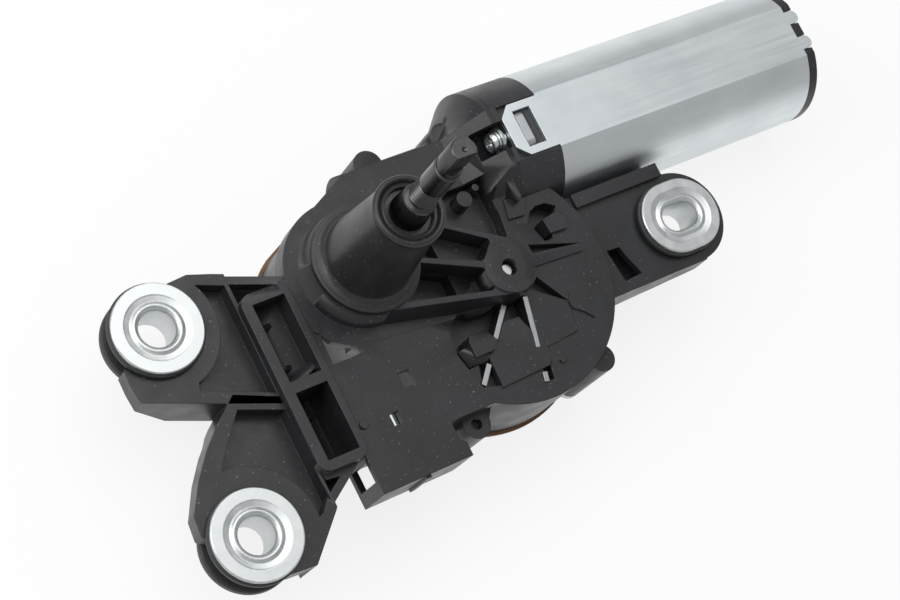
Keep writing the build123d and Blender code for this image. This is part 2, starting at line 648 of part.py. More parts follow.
def worm():
    """The single-start worm: a round section set off centre and twisted along the shaft."""
    plane_x0 = WHEEL_X - WORM_LEN / 2
    turns = WORM_LEN / WORM_LEAD
    section = Pos(WORM_WAVE, 0) * Circle(WORM_PITCH_R)
    thread = Solid.extrude_linear_with_rotation(section.face(), (0, 0, 0), (0, 0, WORM_LEN), 360 * turns)
    bore = Pos(0, 0, WORM_LEN / 2) * Cylinder(SHAFT_R + SEAT, WORM_LEN + 2)
    placed = Part([thread]) - bore
    lay = Plane(origin=(plane_x0, CAN_Y, CAN_Z), x_dir=(0, 1, 0), z_dir=(1, 0, 0))
    start = -360 * turns / 2
    return lay * Rot(0, 0, start) * placed


def front_bush():
    return rod_x(FRONT_BUSH_R - SEAT, BUSH_X[0] - 0.5, BUSH_X[1]) - rod_x(SHAFT_R + RUN, BUSH_X[0] + 0.4, BUSH_X[1] + 1)


def ball_bearing(x0, x1):
    """A small bearing as inner and outer rings joined by its shield."""
    solid = rod_x(BEARING_R - SEAT, x0, x1) - rod_x(SHAFT_R + RUN, x0 - 1, x1 + 1)
    groove = rod_x(5.6, x0 - 1, x0 + 0.5) - rod_x(4.2, x0 - 2, x0 + 1)
    groove += rod_x(5.6, x1 - 0.5, x1 + 1) - rod_x(4.2, x1 - 1, x1 + 2)
    return solid - groove


HOLDER_X = (CAN_X0 + 5.3, CAN_X0 + 7.5)
BRUSH_W = 4.0
BRUSH_L = 6.5


def brush_holder():
    """The plate that guides the brushes."""
    plate = along_can(can_profile(CAN_R - CAN_T - 0.2, CAN_FLAT - CAN_T - 0.2), *HOLDER_X)
    plate -= rod_x(COMM_R + 1, HOLDER_X[0] - 1, HOLDER_X[1] + 1)
    for side in (-1, 1):
        middle = CAN_Y + side * (COMM_R + 1.0 + BRUSH_L / 2)
        rails = block(HOLDER_X[1], HOLDER_X[1] + 6.4, middle - 2.6, middle + 2.6, CAN_Z - 4.0, CAN_Z + 4.0)
        rails -= block(HOLDER_X[1], HOLDER_X[1] + 8, middle - 9, middle + 9,
                       CAN_Z - BRUSH_W / 2 - 0.1, CAN_Z + BRUSH_W / 2 + 0.1)
        plate += rails
    return plate


def brushes():
    """Two carbon brushes, one each side of the commutator."""
    group = []
    for side in (-1, 1):
        inner = CAN_Y + side * (COMM_R + FIT)
        outer = inner + side * BRUSH_L
        group.append(block(HOLDER_X[1], HOLDER_X[1] + 5, min(inner, outer), max(inner, outer),
                           CAN_Z - BRUSH_W / 2, CAN_Z + BRUSH_W / 2))
    return Compound(children=group)


def brush_springs():
    """Leaf springs that press the brushes in."""
    group = []
    for side in (-1, 1):
        start = CAN_Y + side * (COMM_R + FIT + BRUSH_L)
        lay = Plane(origin=(HOLDER_X[1], 0, CAN_Z), x_dir=(0, 1, 0), z_dir=(1, 0, 0))
        leaf = shape([(start, -1.6), (start + side * 0.5, -1.6), (start + side * 3.0, 4.4),
                      (start + side * 2.6, 6.2), (start + side * 2.1, 4.4), (start, -0.8)])
        group.append(extrude(lay * leaf, amount=4))
    return Compound(children=group)


def tooth_outline(module, teeth, addendum, dedendum, thin, flank):
    """A gear's outline: straight flanks at the given angle, thinned for backlash."""
    pitch_r = module * teeth / 2
    half = math.pi * module / 4 - thin
    lean = math.tan(math.radians(flank))
    corners = []
    for index in range(teeth):
        middle = 2 * math.pi * index / teeth
        for offset_r, side in ((-dedendum, -1), (addendum, -1), (addendum, 1), (-dedendum, 1)):
            radius = pitch_r + offset_r
            swing = side * (half - offset_r * lean) / pitch_r
            corners.append((radius * math.cos(middle + swing), radius * math.sin(middle + swing)))
    return corners


WHEEL_Z0 = CAN_Z - WHEEL_T / 2
WHEEL_Z1 = CAN_Z + WHEEL_T / 2
WHEEL_BUSH_R = 4.6
SOCKET_R = 2.7       # crank hole in the wheel's face
SOCKET_DEPTH = 5.0


def worm_wheel():
    """The light plastic worm wheel: toothed rim, thin web with ribs, thick hub."""
    rim = shape(tooth_outline(MODULE, WHEEL_TEETH, 0.8, 1.45, 0.26, 28))
    wheel = prism(Rot(0, 0, 90) * rim, WHEEL_Z0, WHEEL_Z1)
    recess = Circle(WHEEL_R - 4.6) - Circle(CRANK_R + SOCKET_R + 1.6)
    spokes = None
    for index in range(8):
        spoke = Rot(0, 0, 45 * index) * Pos(WHEEL_R / 2, 0) * Rectangle(WHEEL_R, 2.0)
        spokes = spoke if spokes is None else spokes + spoke
    wheel -= prism(recess - spokes, CAN_Z + 0.2, WHEEL_Z1 + 1)
    wheel -= prism(Circle(WHEEL_R - 4.6) - Circle(CRANK_R + 4.6), WHEEL_Z0 - 1, WHEEL_Z0 + 1.6)
    wheel -= prism(Circle(WHEEL_BUSH_R), WHEEL_Z0 - 1, WHEEL_Z1 + 1)
    wheel = Pos(WHEEL_X, WHEEL_Y, 0) * wheel
    return wheel - post(SOCKET_R, *CRANK, WHEEL_Z0 - 1, WHEEL_Z0 + SOCKET_DEPTH)


def wheel_bush():
    """The metal bush pressed in the wheel."""
    return (post(WHEEL_BUSH_R - SEAT, WHEEL_X, WHEEL_Y, WHEEL_Z0, WHEEL_Z1)
            - post(AXLE_R + RUN, WHEEL_X, WHEEL_Y, WHEEL_Z0 - 1, WHEEL_Z1 + 1))


def wheel_axle():
    """The steel pin the wheel turns on, with its thin tip in the hub hole."""
    pin = post(AXLE_R - SEAT, WHEEL_X, WHEEL_Y, WHEEL_Z0 + 0.2, -0.4)
    tip = post(AXLE_TIP_R, WHEEL_X, WHEEL_Y, -0.4, AXLE_TOP)
    tip = chamfer(tip.faces().sort_by(Axis.Z)[-1].edges(), 0.5)
    return pin + tip


LEVER_Z1 = LEVER_Z0 + LEVER_T
LINK_Z0 = LEVER_Z0 - LINK_GAP - LINK_T
PIVOT_R = 2.5
LEVER_HUB_R = 5.6
CRANK_EYE_R = 4.6


def angle_to(start, end):
    """Direction from one point to another, in degrees."""
    return math.degrees(math.atan2(end[1] - start[1], end[0] - start[0]))


def pivot_at(reach):
    """Direction of the lever's pivot when it lies this far from the wheel's axis."""
    span = math.hypot(WHEEL_X, WHEEL_Y)
    corner = (span ** 2 + LINK_LEN ** 2 - reach ** 2) / (2 * span * LINK_LEN)
    return angle_to((0, 0), (WHEEL_X, WHEEL_Y)) + math.degrees(math.acos(corner))


def from_point(start, length, angle):
    """The point at a distance and direction from another."""
    return (start[0] + length * math.cos(math.radians(angle)),
            start[1] + length * math.sin(math.radians(angle)))


# Rest is one end of the swing, where crank and lever lie in line over each other;
# at the other end they lie in line end to end.
WHEEL_AXIS = (WHEEL_X, WHEEL_Y)
REST_ANGLE = pivot_at(LEVER_LEN - CRANK_R)
FULL_ANGLE = pivot_at(LEVER_LEN + CRANK_R)
PIVOT = from_point((0, 0), LINK_LEN, REST_ANGLE)
LEVER_ANGLE = angle_to(PIVOT, WHEEL_AXIS)
CRANK = from_point(PIVOT, LEVER_LEN, LEVER_ANGLE)
FULL_PIVOT = from_point((0, 0), LINK_LEN, FULL_ANGLE)
LINK_SWING = FULL_ANGLE - REST_ANGLE
LEVER_SWING = angle_to(FULL_PIVOT, WHEEL_AXIS) - LEVER_ANGLE - LINK_SWING
OUTPUT_SWING = LINK_SWING - LEVER_SWING * SECTOR_R / PINION_R


def output_pinion():
    """The pinion at the foot of the output shaft, one tooth gap facing the lever's pivot."""
    outline = shape(tooth_outline(MODULE, PINION_TEETH, 0.95, 1.35, 0.2, 20))
    gear = Rot(0, 0, REST_ANGLE + 180 / PINION_TEETH) * outline
    solid = prism(gear, LEVER_Z0 - 0.3, LEVER_Z1 + 0.3)
    return solid - post(OUT_R + SEAT, 0, 0, LEVER_Z0 - 2, LEVER_Z1 + 2)


def sector_lever():
    """The lever: a toothed sector round its pivot and a long arm to the crank pin."""
    outline = shape(tooth_outline(MODULE, SECTOR_TEETH, 0.95, 1.35, 0.2, 20))
    gear = Pos(*PIVOT) * Rot(0, 0, REST_ANGLE + 180) * outline
    facing = REST_ANGLE + 180
    pitch = 360 / SECTOR_TEETH
    first = facing - pitch / 2
    last = facing + (math.ceil(-LEVER_SWING / pitch) + 0.5) * pitch
    far = 2 * SECTOR_R
    corners = [from_point(PIVOT, far, angle) for angle in (first, (first + last) / 2, last)]
    sector = gear & shape([PIVOT, *corners])
    hub = Pos(*PIVOT) * Circle(LEVER_HUB_R)
    sector += make_hull(hub.edges() + (Pos(*CRANK) * Circle(CRANK_EYE_R)).edges())
    for angle in (first + 6, last - 6):
        corner = Pos(*from_point(PIVOT, SECTOR_R - 3.5, angle)) * Circle(1.0)
        sector += make_hull(hub.edges() + corner.edges())
    solid = prism(sector, LEVER_Z0, LEVER_Z1)
    solid -= post(PIVOT_R + SEAT, *PIVOT, LEVER_Z0 - 1, LEVER_Z1 + 1)
    solid -= post(PIVOT_R + SEAT, *CRANK, LEVER_Z0 - 1, LEVER_Z1 + 1)
    return solid


def crank_pin():
    """The pin that rides in the wheel's face on the real motor; here it ends clear of it."""
    return post(PIVOT_R, *CRANK, LEVER_Z0 - 0.8, WHEEL_Z0 - FIT)


def lever_pivot_pin():
    """The riveted pin between lever and link plate."""
    pin = post(PIVOT_R, *PIVOT, LINK_Z0 - 0.4, LEVER_Z1 + 0.4)
    return pin + post(3.6, *PIVOT, LINK_Z0 - 1.4, LINK_Z0 - 0.4)


def link_plate():
    """The plate that keeps sector and pinion at their distance."""
    outline = make_hull(Circle(8.2).edges() + (Pos(*PIVOT) * Circle(5.6)).edges())
    solid = prism(outline, LINK_Z0, LINK_Z0 + LINK_T)
    solid -= post(OUT_R - 1 + RUN, 0, 0, LINK_Z0 - 1, LINK_Z0 + LINK_T + 1)
    return solid - post(PIVOT_R + RUN, *PIVOT, LINK_Z0 - 1, LINK_Z0 + LINK_T + 1)


THREAD_Z = (50.4, 58.4)
GROOVE_Z = (69.4, 71.0)
KNURL_Z = (40.6, 49.8)


def output_shaft():
    """The output shaft: journal, knurled cone, thread, groove and flatted tip."""
    foot = LINK_Z0 - 0.9
    profile = shape([(0, foot), (OUT_R - 1, foot), (OUT_R - 1, LINK_Z0 + LINK_T + 0.2), (OUT_R, LINK_Z0 + LINK_T + 0.2),
                     (OUT_R, KNURL_Z[0] - 0.8), (5.4, KNURL_Z[0]), (4.75, KNURL_Z[1]), (3.4, KNURL_Z[1] + 0.3),
                     (3.4, THREAD_Z[0]), (4.0, THREAD_Z[0] + 0.6), (4.0, THREAD_Z[1]), (3.8, THREAD_Z[1] + 0.3),
                     (3.8, GROOVE_Z[0] - 0.4), (3.3, GROOVE_Z[0]), (3.3, GROOVE_Z[1]), (3.7, GROOVE_Z[1] + 0.4),
                     (3.7, OUT_TIP_Z - 0.6), (3.2, OUT_TIP_Z), (0, OUT_TIP_Z)])
    solid = revolve(Plane.XZ * profile, Axis.Z)
    flat = Rot(0, 0, -52) * Pos(0, -6.6, (GROOVE_Z[1] + OUT_TIP_Z) / 2 + 1.2) * Box(16, 7.2, OUT_TIP_Z - GROOVE_Z[1])
    return solid - flat


def tower_bush(z0, z1):
    return post(BUSH_R - SEAT, 0, 0, z0, z1) - post(OUT_R + RUN, 0, 0, z0 - 1, z1 + 1)


def tower_washer():
    """The stepped washer at the tower's mouth, under the knurled cone."""
    z0 = TOWER_TOP_Z + 0.1
    return post(TOWER_R - 0.4, 0, 0, z0, z0 + 1.0) - post(OUT_R + RUN, 0, 0, z0 - 1, z0 + 3)


def tower_boot():
    """The rubber boot over the tower: foot flange, tapered wall and rolled lip."""
    foot = STEP_Z + 0.1
    outer = [(TOWER_R + 0.1, foot), (BOOT_FLANGE_R, foot), (BOOT_FLANGE_R, BOOT_FLANGE_Z), (14.0, BOOT_FLANGE_Z + 0.8),
             (13.0, 12.0), (10.2, 35.5), (9.9, 39.6), (BOOT_TOP_R, 41.4), (BOOT_TOP_R, BOOT_TOP_Z - 0.3),
             (BOOT_TOP_R - 0.4, BOOT_TOP_Z), (9.3, BOOT_TOP_Z), (TOWER_R - 0.2, 40.4), (TOWER_R - 0.2, TOWER_TOP_Z + 0.3),
             (TOWER_R + 0.1, TOWER_TOP_Z + 0.2)]
    return revolve(Plane.XZ * shape(outer), Axis.Z)


def round_sleeve(y):
    """A steel mounting sleeve: dished flange with a rounded mouth, and its tube."""
    tube_r = SLEEVE_BORE_R + SLEEVE_TUBE_T
    t = SLEEVE_FLANGE_T
    profile = shape([(SLEEVE_BORE_R, -SLEEVE_H), (tube_r, -SLEEVE_H), (tube_r, -t), (SLEEVE_FLANGE_R, -t),
                     (SLEEVE_FLANGE_R, -0.3), (SLEEVE_FLANGE_R - 0.3, 0), (tube_r + 2.2, 0), (tube_r + 0.9, -0.5),
                     (SLEEVE_BORE_R + 0.9, -0.7), (SLEEVE_BORE_R, -1.6)])
    return Pos(SLEEVE_X, y, 0) * revolve(Plane.XZ * profile, Axis.Z)


def slotted_sleeve():
    """The steel sleeve with a long hole."""
    tube_r = SLOT_BORE_R + SLEEVE_TUBE_T
    solid = prism(eye_outline(SLOT_X, SLOT_Y, SLOT_FLANGE_R, SLOT_SHIFT), -SLEEVE_FLANGE_T, 0)
    solid = chamfer(solid.faces().sort_by(Axis.Z)[-1].edges(), 0.3)
    solid += prism(eye_outline(SLOT_X, SLOT_Y, tube_r, SLOT_SHIFT), -SLEEVE_H, -SLEEVE_FLANGE_T)
    solid -= prism(eye_outline(SLOT_X, SLOT_Y, tube_r + 0.6, SLOT_SHIFT), -0.6, 1)
    return solid - prism(eye_outline(SLOT_X, SLOT_Y, SLOT_BORE_R, SLOT_SHIFT), -SLEEVE_H - 1, 1)


def grommet(x, y, lip_r, neck_r, bore_r, shift):
    """A rubber grommet: two lips and the neck that sits in the bracket's eye."""
    foot = -SLEEVE_H + 0.3
    solid = prism(eye_outline(x, y, lip_r, shift), EYE_TOP + 0.05, -SLEEVE_FLANGE_T - 0.05)
    solid += prism(eye_outline(x, y, neck_r, shift), EYE_BACK - 0.05, EYE_TOP + 0.05)
    solid += prism(eye_outline(x, y, lip_r, shift), foot, EYE_BACK - 0.05)
    return solid - prism(eye_outline(x, y, bore_r + 0.05, shift), -20, 1)


def connector_terminals():
    """Three flat blades that stand in the plug box."""
    group = []
    for index in range(3):
        x = -4.6 + 3.0 * index
        group.append(block(x, x + 0.7, -58.4, -55.4, -15.4, PLATE_Z - WALL))
    return Compound(children=group)


def circuit_board():
    """The small board behind the front plate."""
    board = block(CONN_X0 + 2.4, 1.8, CONN_STEP_Y + 2.2, -24.6, -9.4, -7.8)
    board -= block(-4.4, 3, -37.8, -30.8, -12, -5)
    return board - block(-12.2, -6.8, -46.4, -40.4, -12, -5)


def save_all():
    """Build every piece and write it."""
    pieces = {
        "gear_housing": gear_housing(),
        "cover_gasket": cover_gasket(),
        "rear_cover": rear_cover(),
        "cover_screws": cover_screws(),
        "pocket_strips": pocket_strips(),
        "motor_collar": motor_collar(),
        "motor_can": motor_can(),
        "end_cap": end_cap(),
        "clamp_screw": clamp_screw(),
        "clamp_nut": clamp_nut(),
        "magnets": magnets(),
        "armature_core": armature_core(),
        "armature_windings": armature_windings(),
        "commutator": commutator(),
        "armature_shaft": armature_shaft(),
        "worm": worm(),
        "front_bush": front_bush(),
        "middle_bearing": ball_bearing(*BEARING_X),
        "rear_bearing": ball_bearing(CAN_X1 - 6.2, CAN_X1 - 1.2),
        "brush_holder": brush_holder(),
        "brushes": brushes(),
        "brush_springs": brush_springs(),
        "worm_wheel": worm_wheel(),
        "wheel_bush": wheel_bush(),
        "wheel_axle": wheel_axle(),
        "output_shaft": output_shaft(),
        "output_pinion": output_pinion(),
        "sector_lever": sector_lever(),
        "crank_pin": crank_pin(),
        "lever_pivot_pin": lever_pivot_pin(),
        "link_plate": link_plate(),
        "tower_bush_upper": tower_bush(TOWER_TOP_Z - 12, TOWER_TOP_Z),
        "tower_bush_lower": tower_bush(CAVITY_Z, 4.0),
        "tower_washer": tower_washer(),
        "tower_boot": tower_boot(),
        "sleeve_upper": round_sleeve(SLEEVE_Y1),
        "sleeve_lower": round_sleeve(SLEEVE_Y2),
        "sleeve_slotted": slotted_sleeve(),
        "grommet_upper": grommet(SLEEVE_X, SLEEVE_Y1, LIP_R, NECK_R, SLEEVE_BORE_R + SLEEVE_TUBE_T, 0),
        "grommet_lower": grommet(SLEEVE_X, SLEEVE_Y2, LIP_R, NECK_R, SLEEVE_BORE_R + SLEEVE_TUBE_T, 0),
        "grommet_slotted": grommet(SLOT_X, SLOT_Y, SLOT_LIP_R, SLOT_NECK_R, SLOT_BORE_R + SLEEVE_TUBE_T,
                                   SLOT_SHIFT),
        "connector_terminals": connector_terminals(),
        "circuit_board": circuit_board(),
    }
    for name, solid in pieces.items():
        save(solid, name)


save_all()
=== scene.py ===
# %% Load the fixed model
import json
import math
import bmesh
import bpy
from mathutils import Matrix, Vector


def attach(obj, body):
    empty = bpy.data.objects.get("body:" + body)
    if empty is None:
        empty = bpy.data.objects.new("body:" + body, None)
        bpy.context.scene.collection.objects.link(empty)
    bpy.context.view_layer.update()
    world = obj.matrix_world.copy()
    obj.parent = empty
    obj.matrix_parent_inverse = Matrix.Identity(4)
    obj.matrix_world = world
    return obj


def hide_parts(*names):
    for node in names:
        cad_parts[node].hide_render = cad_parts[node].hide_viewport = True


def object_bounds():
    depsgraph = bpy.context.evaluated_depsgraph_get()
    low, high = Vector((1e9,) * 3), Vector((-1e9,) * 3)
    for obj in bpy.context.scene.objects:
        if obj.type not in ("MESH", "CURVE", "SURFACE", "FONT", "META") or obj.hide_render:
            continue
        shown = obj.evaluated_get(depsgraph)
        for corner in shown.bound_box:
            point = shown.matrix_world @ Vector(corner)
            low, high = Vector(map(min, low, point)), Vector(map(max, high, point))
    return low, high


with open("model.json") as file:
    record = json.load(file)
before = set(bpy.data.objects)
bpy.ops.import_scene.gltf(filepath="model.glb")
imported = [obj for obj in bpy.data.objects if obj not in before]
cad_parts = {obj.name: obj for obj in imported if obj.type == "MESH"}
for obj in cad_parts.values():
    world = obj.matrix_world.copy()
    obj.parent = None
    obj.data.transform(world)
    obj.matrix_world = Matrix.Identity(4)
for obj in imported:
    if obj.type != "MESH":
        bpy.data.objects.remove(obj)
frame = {"nodes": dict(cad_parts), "record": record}

# %% [markdown]
# A rear wiper motor lies on a white table and is seen from above and from the left.
# The engineering model is loaded first and never moves: it holds every real piece at
# its real size. This script adds what the eye sees: the housing's ribs and arms, knurls
# and thread, rolled rubber, and the finish of each surface. The sizes of the pieces are
# millimetres and are multiplied by MM, because Blender counts in metres. The camera, the
# lamps and the grain of the finishes are given in metres.

MM = 0.001
nodes = frame["nodes"]
cad_box = [list(corner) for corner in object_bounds()]
print("pieces in the fixed model:", len(nodes))

# %% [markdown]
# The camera comes first. The photograph was taken with a long lens from the upper left,
# so the camera's three axes are given as directions: where right, up and back point.

# %% Camera
CAMERA_PLACE = (-0.2611, -0.1164, 0.5121)
CAMERA_RIGHT = Vector((0.8162, -0.4481, 0.3646))
CAMERA_UP = Vector((0.3268, 0.8786, 0.3483))
CAMERA_LENS = 83.3
CAMERA_SENSOR = 36.0


def add_camera():
    data = bpy.data.cameras.new("camera")
    data.lens = CAMERA_LENS
    data.sensor_width = CAMERA_SENSOR
    camera = bpy.data.objects.new("camera", data)
    bpy.context.scene.collection.objects.link(camera)
    right = CAMERA_RIGHT.normalized()
    back = right.cross(CAMERA_UP).normalized()
    up = back.cross(right)
    turn = Matrix((right, up, back)).transposed().to_4x4()
    camera.matrix_world = Matrix.Translation(CAMERA_PLACE) @ turn
    bpy.context.scene.camera = camera
    return camera


camera = add_camera()
print("camera at", [round(value, 3) for value in camera.location])

# %% [markdown]
# The light is a plain studio's: a white table and sheets of soft light. Black plastic
# shows its form only by what it mirrors, so the large lamps matter more than strong ones.

# %% Table, world and lamps
REST_Z = cad_box[0][2]
TABLE_HALF = 2.5
TABLE_WHITE = 0.92
CAMERA_SHARE = 0.82      # how much of the plain white the camera sees in the table
SKY_STRENGTH = 0.45


def white_seen_by_camera(tree, shader):
    """Mix a shader with plain white for rays that the camera or a mirror sends."""
    path = tree.nodes.new("ShaderNodeLightPath")
    white = tree.nodes.new("ShaderNodeEmission")
    white.inputs["Color"].default_value = (1, 1, 1, 1)
    white.inputs["Strength"].default_value = 1.0
    seen = tree.nodes.new("ShaderNodeMath")
    seen.operation = "MAXIMUM"
    tree.links.new(path.outputs["Is Camera Ray"], seen.inputs[0])
    tree.links.new(path.outputs["Is Glossy Ray"], seen.inputs[1])
    share = tree.nodes.new("ShaderNodeMath")
    share.operation = "MULTIPLY"
    share.inputs[1].default_value = CAMERA_SHARE
    tree.links.new(seen.outputs[0], share.inputs[0])
    mix = tree.nodes.new("ShaderNodeMixShader")
    tree.links.new(share.outputs[0], mix.inputs["Fac"])
    tree.links.new(shader, mix.inputs[1])
    tree.links.new(white.outputs[0], mix.inputs[2])
    return mix


def add_table():
    bpy.ops.mesh.primitive_plane_add(size=2 * TABLE_HALF, location=(0, 0, REST_Z))
    table = bpy.context.object
    table.name = "table"
    material = bpy.data.materials.new("table_white")
    material.use_nodes = True
    tree = material.node_tree
    tree.nodes.remove(tree.nodes["Principled BSDF"])
    paint = tree.nodes.new("ShaderNodeBsdfDiffuse")
    paint.inputs["Color"].default_value = (TABLE_WHITE, TABLE_WHITE, TABLE_WHITE, 1)
    mix = white_seen_by_camera(tree, paint.outputs[0])
    tree.links.new(mix.outputs[0], tree.nodes["Material Output"].inputs["Surface"])
    table.data.materials.append(material)


def add_world():
    world = bpy.data.worlds.new("studio")
    world.use_nodes = True
    sky = world.node_tree.nodes["Background"]
    sky.inputs["Color"].default_value = (1, 1, 1, 1)
    sky.inputs["Strength"].default_value = SKY_STRENGTH
    bpy.context.scene.world = world


def add_lamp(name, place, aim, size, power):
    data = bpy.data.lights.new(name, "AREA")
    data.shape = "RECTANGLE"
    data.size, data.size_y = size
    data.energy = power
    lamp = bpy.data.objects.new(name, data)
    bpy.context.scene.collection.objects.link(lamp)
    lamp.location = place
    lamp.rotation_euler = (Vector(aim) - Vector(place)).to_track_quat("-Z", "Y").to_euler()


bpy.ops.object.select_all(action="DESELECT")
add_table()
add_world()
add_lamp("top_sheet", place=(-0.1, 0.35, 0.9), aim=(0.03, 0, 0), size=(1.3, 0.9), power=6.5)
add_lamp("left_sheet", place=(-0.7, 0.3, 0.5), aim=(0, 0, 0), size=(0.5, 0.5), power=2.4)
bpy.context.scene.view_settings.view_transform = "Standard"
print("table at", round(REST_Z, 4))

# %% [markdown]
# Every finish starts from the same few nodes: Object coordinates in metres, noise for
# unevenness, and a bump for the grain. A noise's scale counts its spots in one metre, so
# a larger scale gives a finer grain.

# %% Helpers for finishes
NOISE_LOW, NOISE_HIGH = 0.3, 0.7     # between these lie nearly all values of a noise
EDGE_SAMPLES = 6


def start_finish(name, metallic=0.0):
    material = bpy.data.materials.new(name)
    material.use_nodes = True
    shader = material.node_tree.nodes["Principled BSDF"]
    shader.inputs["Metallic"].default_value = metallic
    return material, material.node_tree, shader


def object_noise(tree, scale, detail, stretch=(1, 1, 1)):
    """Noise in the piece's own metres; stretch below 1 draws it out along that axis."""
    place = tree.nodes.new("ShaderNodeTexCoord")
    mapping = tree.nodes.new("ShaderNodeMapping")
    mapping.inputs["Scale"].default_value = stretch
    noise = tree.nodes.new("ShaderNodeTexNoise")
    noise.inputs["Scale"].default_value = scale
    noise.inputs["Detail"].default_value = detail
    tree.links.new(place.outputs["Object"], mapping.inputs["Vector"])
    tree.links.new(mapping.outputs[0], noise.inputs["Vector"])
    return noise.outputs["Fac"]


def spread(tree, value, low, high):
    """Spread a noise over a range, such as roughness 0.3 to 0.44."""
    ranged = tree.nodes.new("ShaderNodeMapRange")
    ranged.inputs["From Min"].default_value = NOISE_LOW
    ranged.inputs["From Max"].default_value = NOISE_HIGH
    ranged.inputs["To Min"].default_value = low
    ranged.inputs["To Max"].default_value = high
    tree.links.new(value, ranged.inputs["Value"])
    return ranged.outputs[0]


def blend_colours(tree, value, first, second):
    mix = tree.nodes.new("ShaderNodeMix")
    mix.data_type = "RGBA"
    mix.inputs["A"].default_value = (*first, 1)
    mix.inputs["B"].default_value = (*second, 1)
    tree.links.new(value, mix.inputs["Factor"])
    return mix.outputs["Result"]


def add_bump(tree, shader, height, depth, edge=None):
    """Grain from a height; edge rounds the shading of sharp edges by that radius."""
    bump = tree.nodes.new("ShaderNodeBump")
    bump.inputs["Strength"].default_value = 1.0
    bump.inputs["Distance"].default_value = depth
    tree.links.new(height, bump.inputs["Height"])
    if edge:
        rounded = tree.nodes.new("ShaderNodeBevel")
        rounded.samples = EDGE_SAMPLES
        rounded.inputs["Radius"].default_value = edge
        tree.links.new(rounded.outputs[0], bump.inputs["Normal"])
    tree.links.new(bump.outputs[0], shader.inputs["Normal"])


print("a noise of scale 2500 has spots of", 1 / 2500 / MM, "mm")

# %% [markdown]
# Moulded black plastic: nearly black, satin, with a fine eroded grain and slight flow
# marks, so its sheen varies a little from place to place. A few specks of dust lie on it,
# where another noise is at its brightest. Rubber and carbon are made the same way.

# %% Plastic and rubber finishes
DUST = (0.11, 0.11, 0.112)
DUST_SCALE, DUST_FROM, DUST_FULL = 1100, 0.70, 0.78
FLOW_SCALE, SHEEN_SCALE, GRAIN_SCALE = 45, 160, 2600
MOULD_EDGE = 0.0003      # radius that a moulded edge seems to have


def dust_mask(tree):
    """A mask that is one only in the few brightest spots of a noise."""
    ranged = tree.nodes.new("ShaderNodeMapRange")
    ranged.inputs["From Min"].default_value = DUST_FROM
    ranged.inputs["From Max"].default_value = DUST_FULL
    tree.links.new(object_noise(tree, DUST_SCALE, 1), ranged.inputs["Value"])
    return ranged.outputs[0]


def moulded_black(name, dark, light, rough, grain_depth):
    material, tree, shader = start_finish(name)
    cloud = object_noise(tree, FLOW_SCALE, 4)
    plain = blend_colours(tree, spread(tree, cloud, 0, 1), dark, light)
    dusty = tree.nodes.new("ShaderNodeMix")
    dusty.data_type = "RGBA"
    dusty.inputs["B"].default_value = (*DUST, 1)
    tree.links.new(plain, dusty.inputs["A"])
    tree.links.new(dust_mask(tree), dusty.inputs["Factor"])
    tree.links.new(dusty.outputs["Result"], shader.inputs["Base Color"])
    sheen = object_noise(tree, SHEEN_SCALE, 5)
    tree.links.new(spread(tree, sheen, *rough), shader.inputs["Roughness"])
    add_bump(tree, shader, object_noise(tree, GRAIN_SCALE, 2), grain_depth, MOULD_EDGE)
    return material


# name, darkest and lightest colour, range of roughness, depth of the grain
BLACKS = [
    ("moulding", (0.012, 0.0125, 0.014), (0.020, 0.021, 0.0235), (0.30, 0.44), 0.00002),
    ("collar", (0.018, 0.019, 0.021), (0.028, 0.029, 0.032), (0.34, 0.46), 0.00002),
    ("boot_rubber", (0.017, 0.017, 0.019), (0.023, 0.023, 0.025), (0.32, 0.42), 0.00001),
    ("grommet_rubber", (0.020, 0.021, 0.022), (0.032, 0.033, 0.034), (0.45, 0.60), 0.00002),
    ("washer_plastic", (0.03, 0.03, 0.033), (0.045, 0.045, 0.05), (0.3, 0.4), 0.00001),
    ("carbon", (0.02, 0.02, 0.02), (0.04, 0.04, 0.04), (0.6, 0.7), 0.00002)]
finishes = {name: moulded_black(name, *look) for name, *look in BLACKS}
print("black finishes:", len(finishes))

# %% [markdown]
# Metals: zinc plating on drawn steel is a soft grey mirror with faint streaks along the
# drawing direction; turned pieces have rings; ground steel is brighter and smoother.

# %% Metal finishes
METAL_EDGE = 0.0002
PLATING_SCALE, STREAK_SCALE, STREAK_DEPTH = 60, 900, 0.000004
LATHE_CLOUD_SCALE, RING_SCALE, RING_DEPTH = 260, 520, 0.000003
ALONG_X = (0.03, 1, 1)
ALONG_Z = (1, 1, 0.05)
ALONG_PLATES = (1, 0.05, 0.05)       # the core's thin plates stand across X
ALONG_WIRES = (1, 0.1, 0.1)


def plated_metal(name, first, second, rough, streak=(1, 1, 1)):
    material, tree, shader = start_finish(name, metallic=1.0)
    cloud = spread(tree, object_noise(tree, PLATING_SCALE, 5), 0, 1)
    tree.links.new(blend_colours(tree, cloud, first, second), shader.inputs["Base Color"])
    lines = object_noise(tree, STREAK_SCALE, 4, streak)
    tree.links.new(spread(tree, lines, *rough), shader.inputs["Roughness"])
    add_bump(tree, shader, lines, STREAK_DEPTH, METAL_EDGE)
    return material


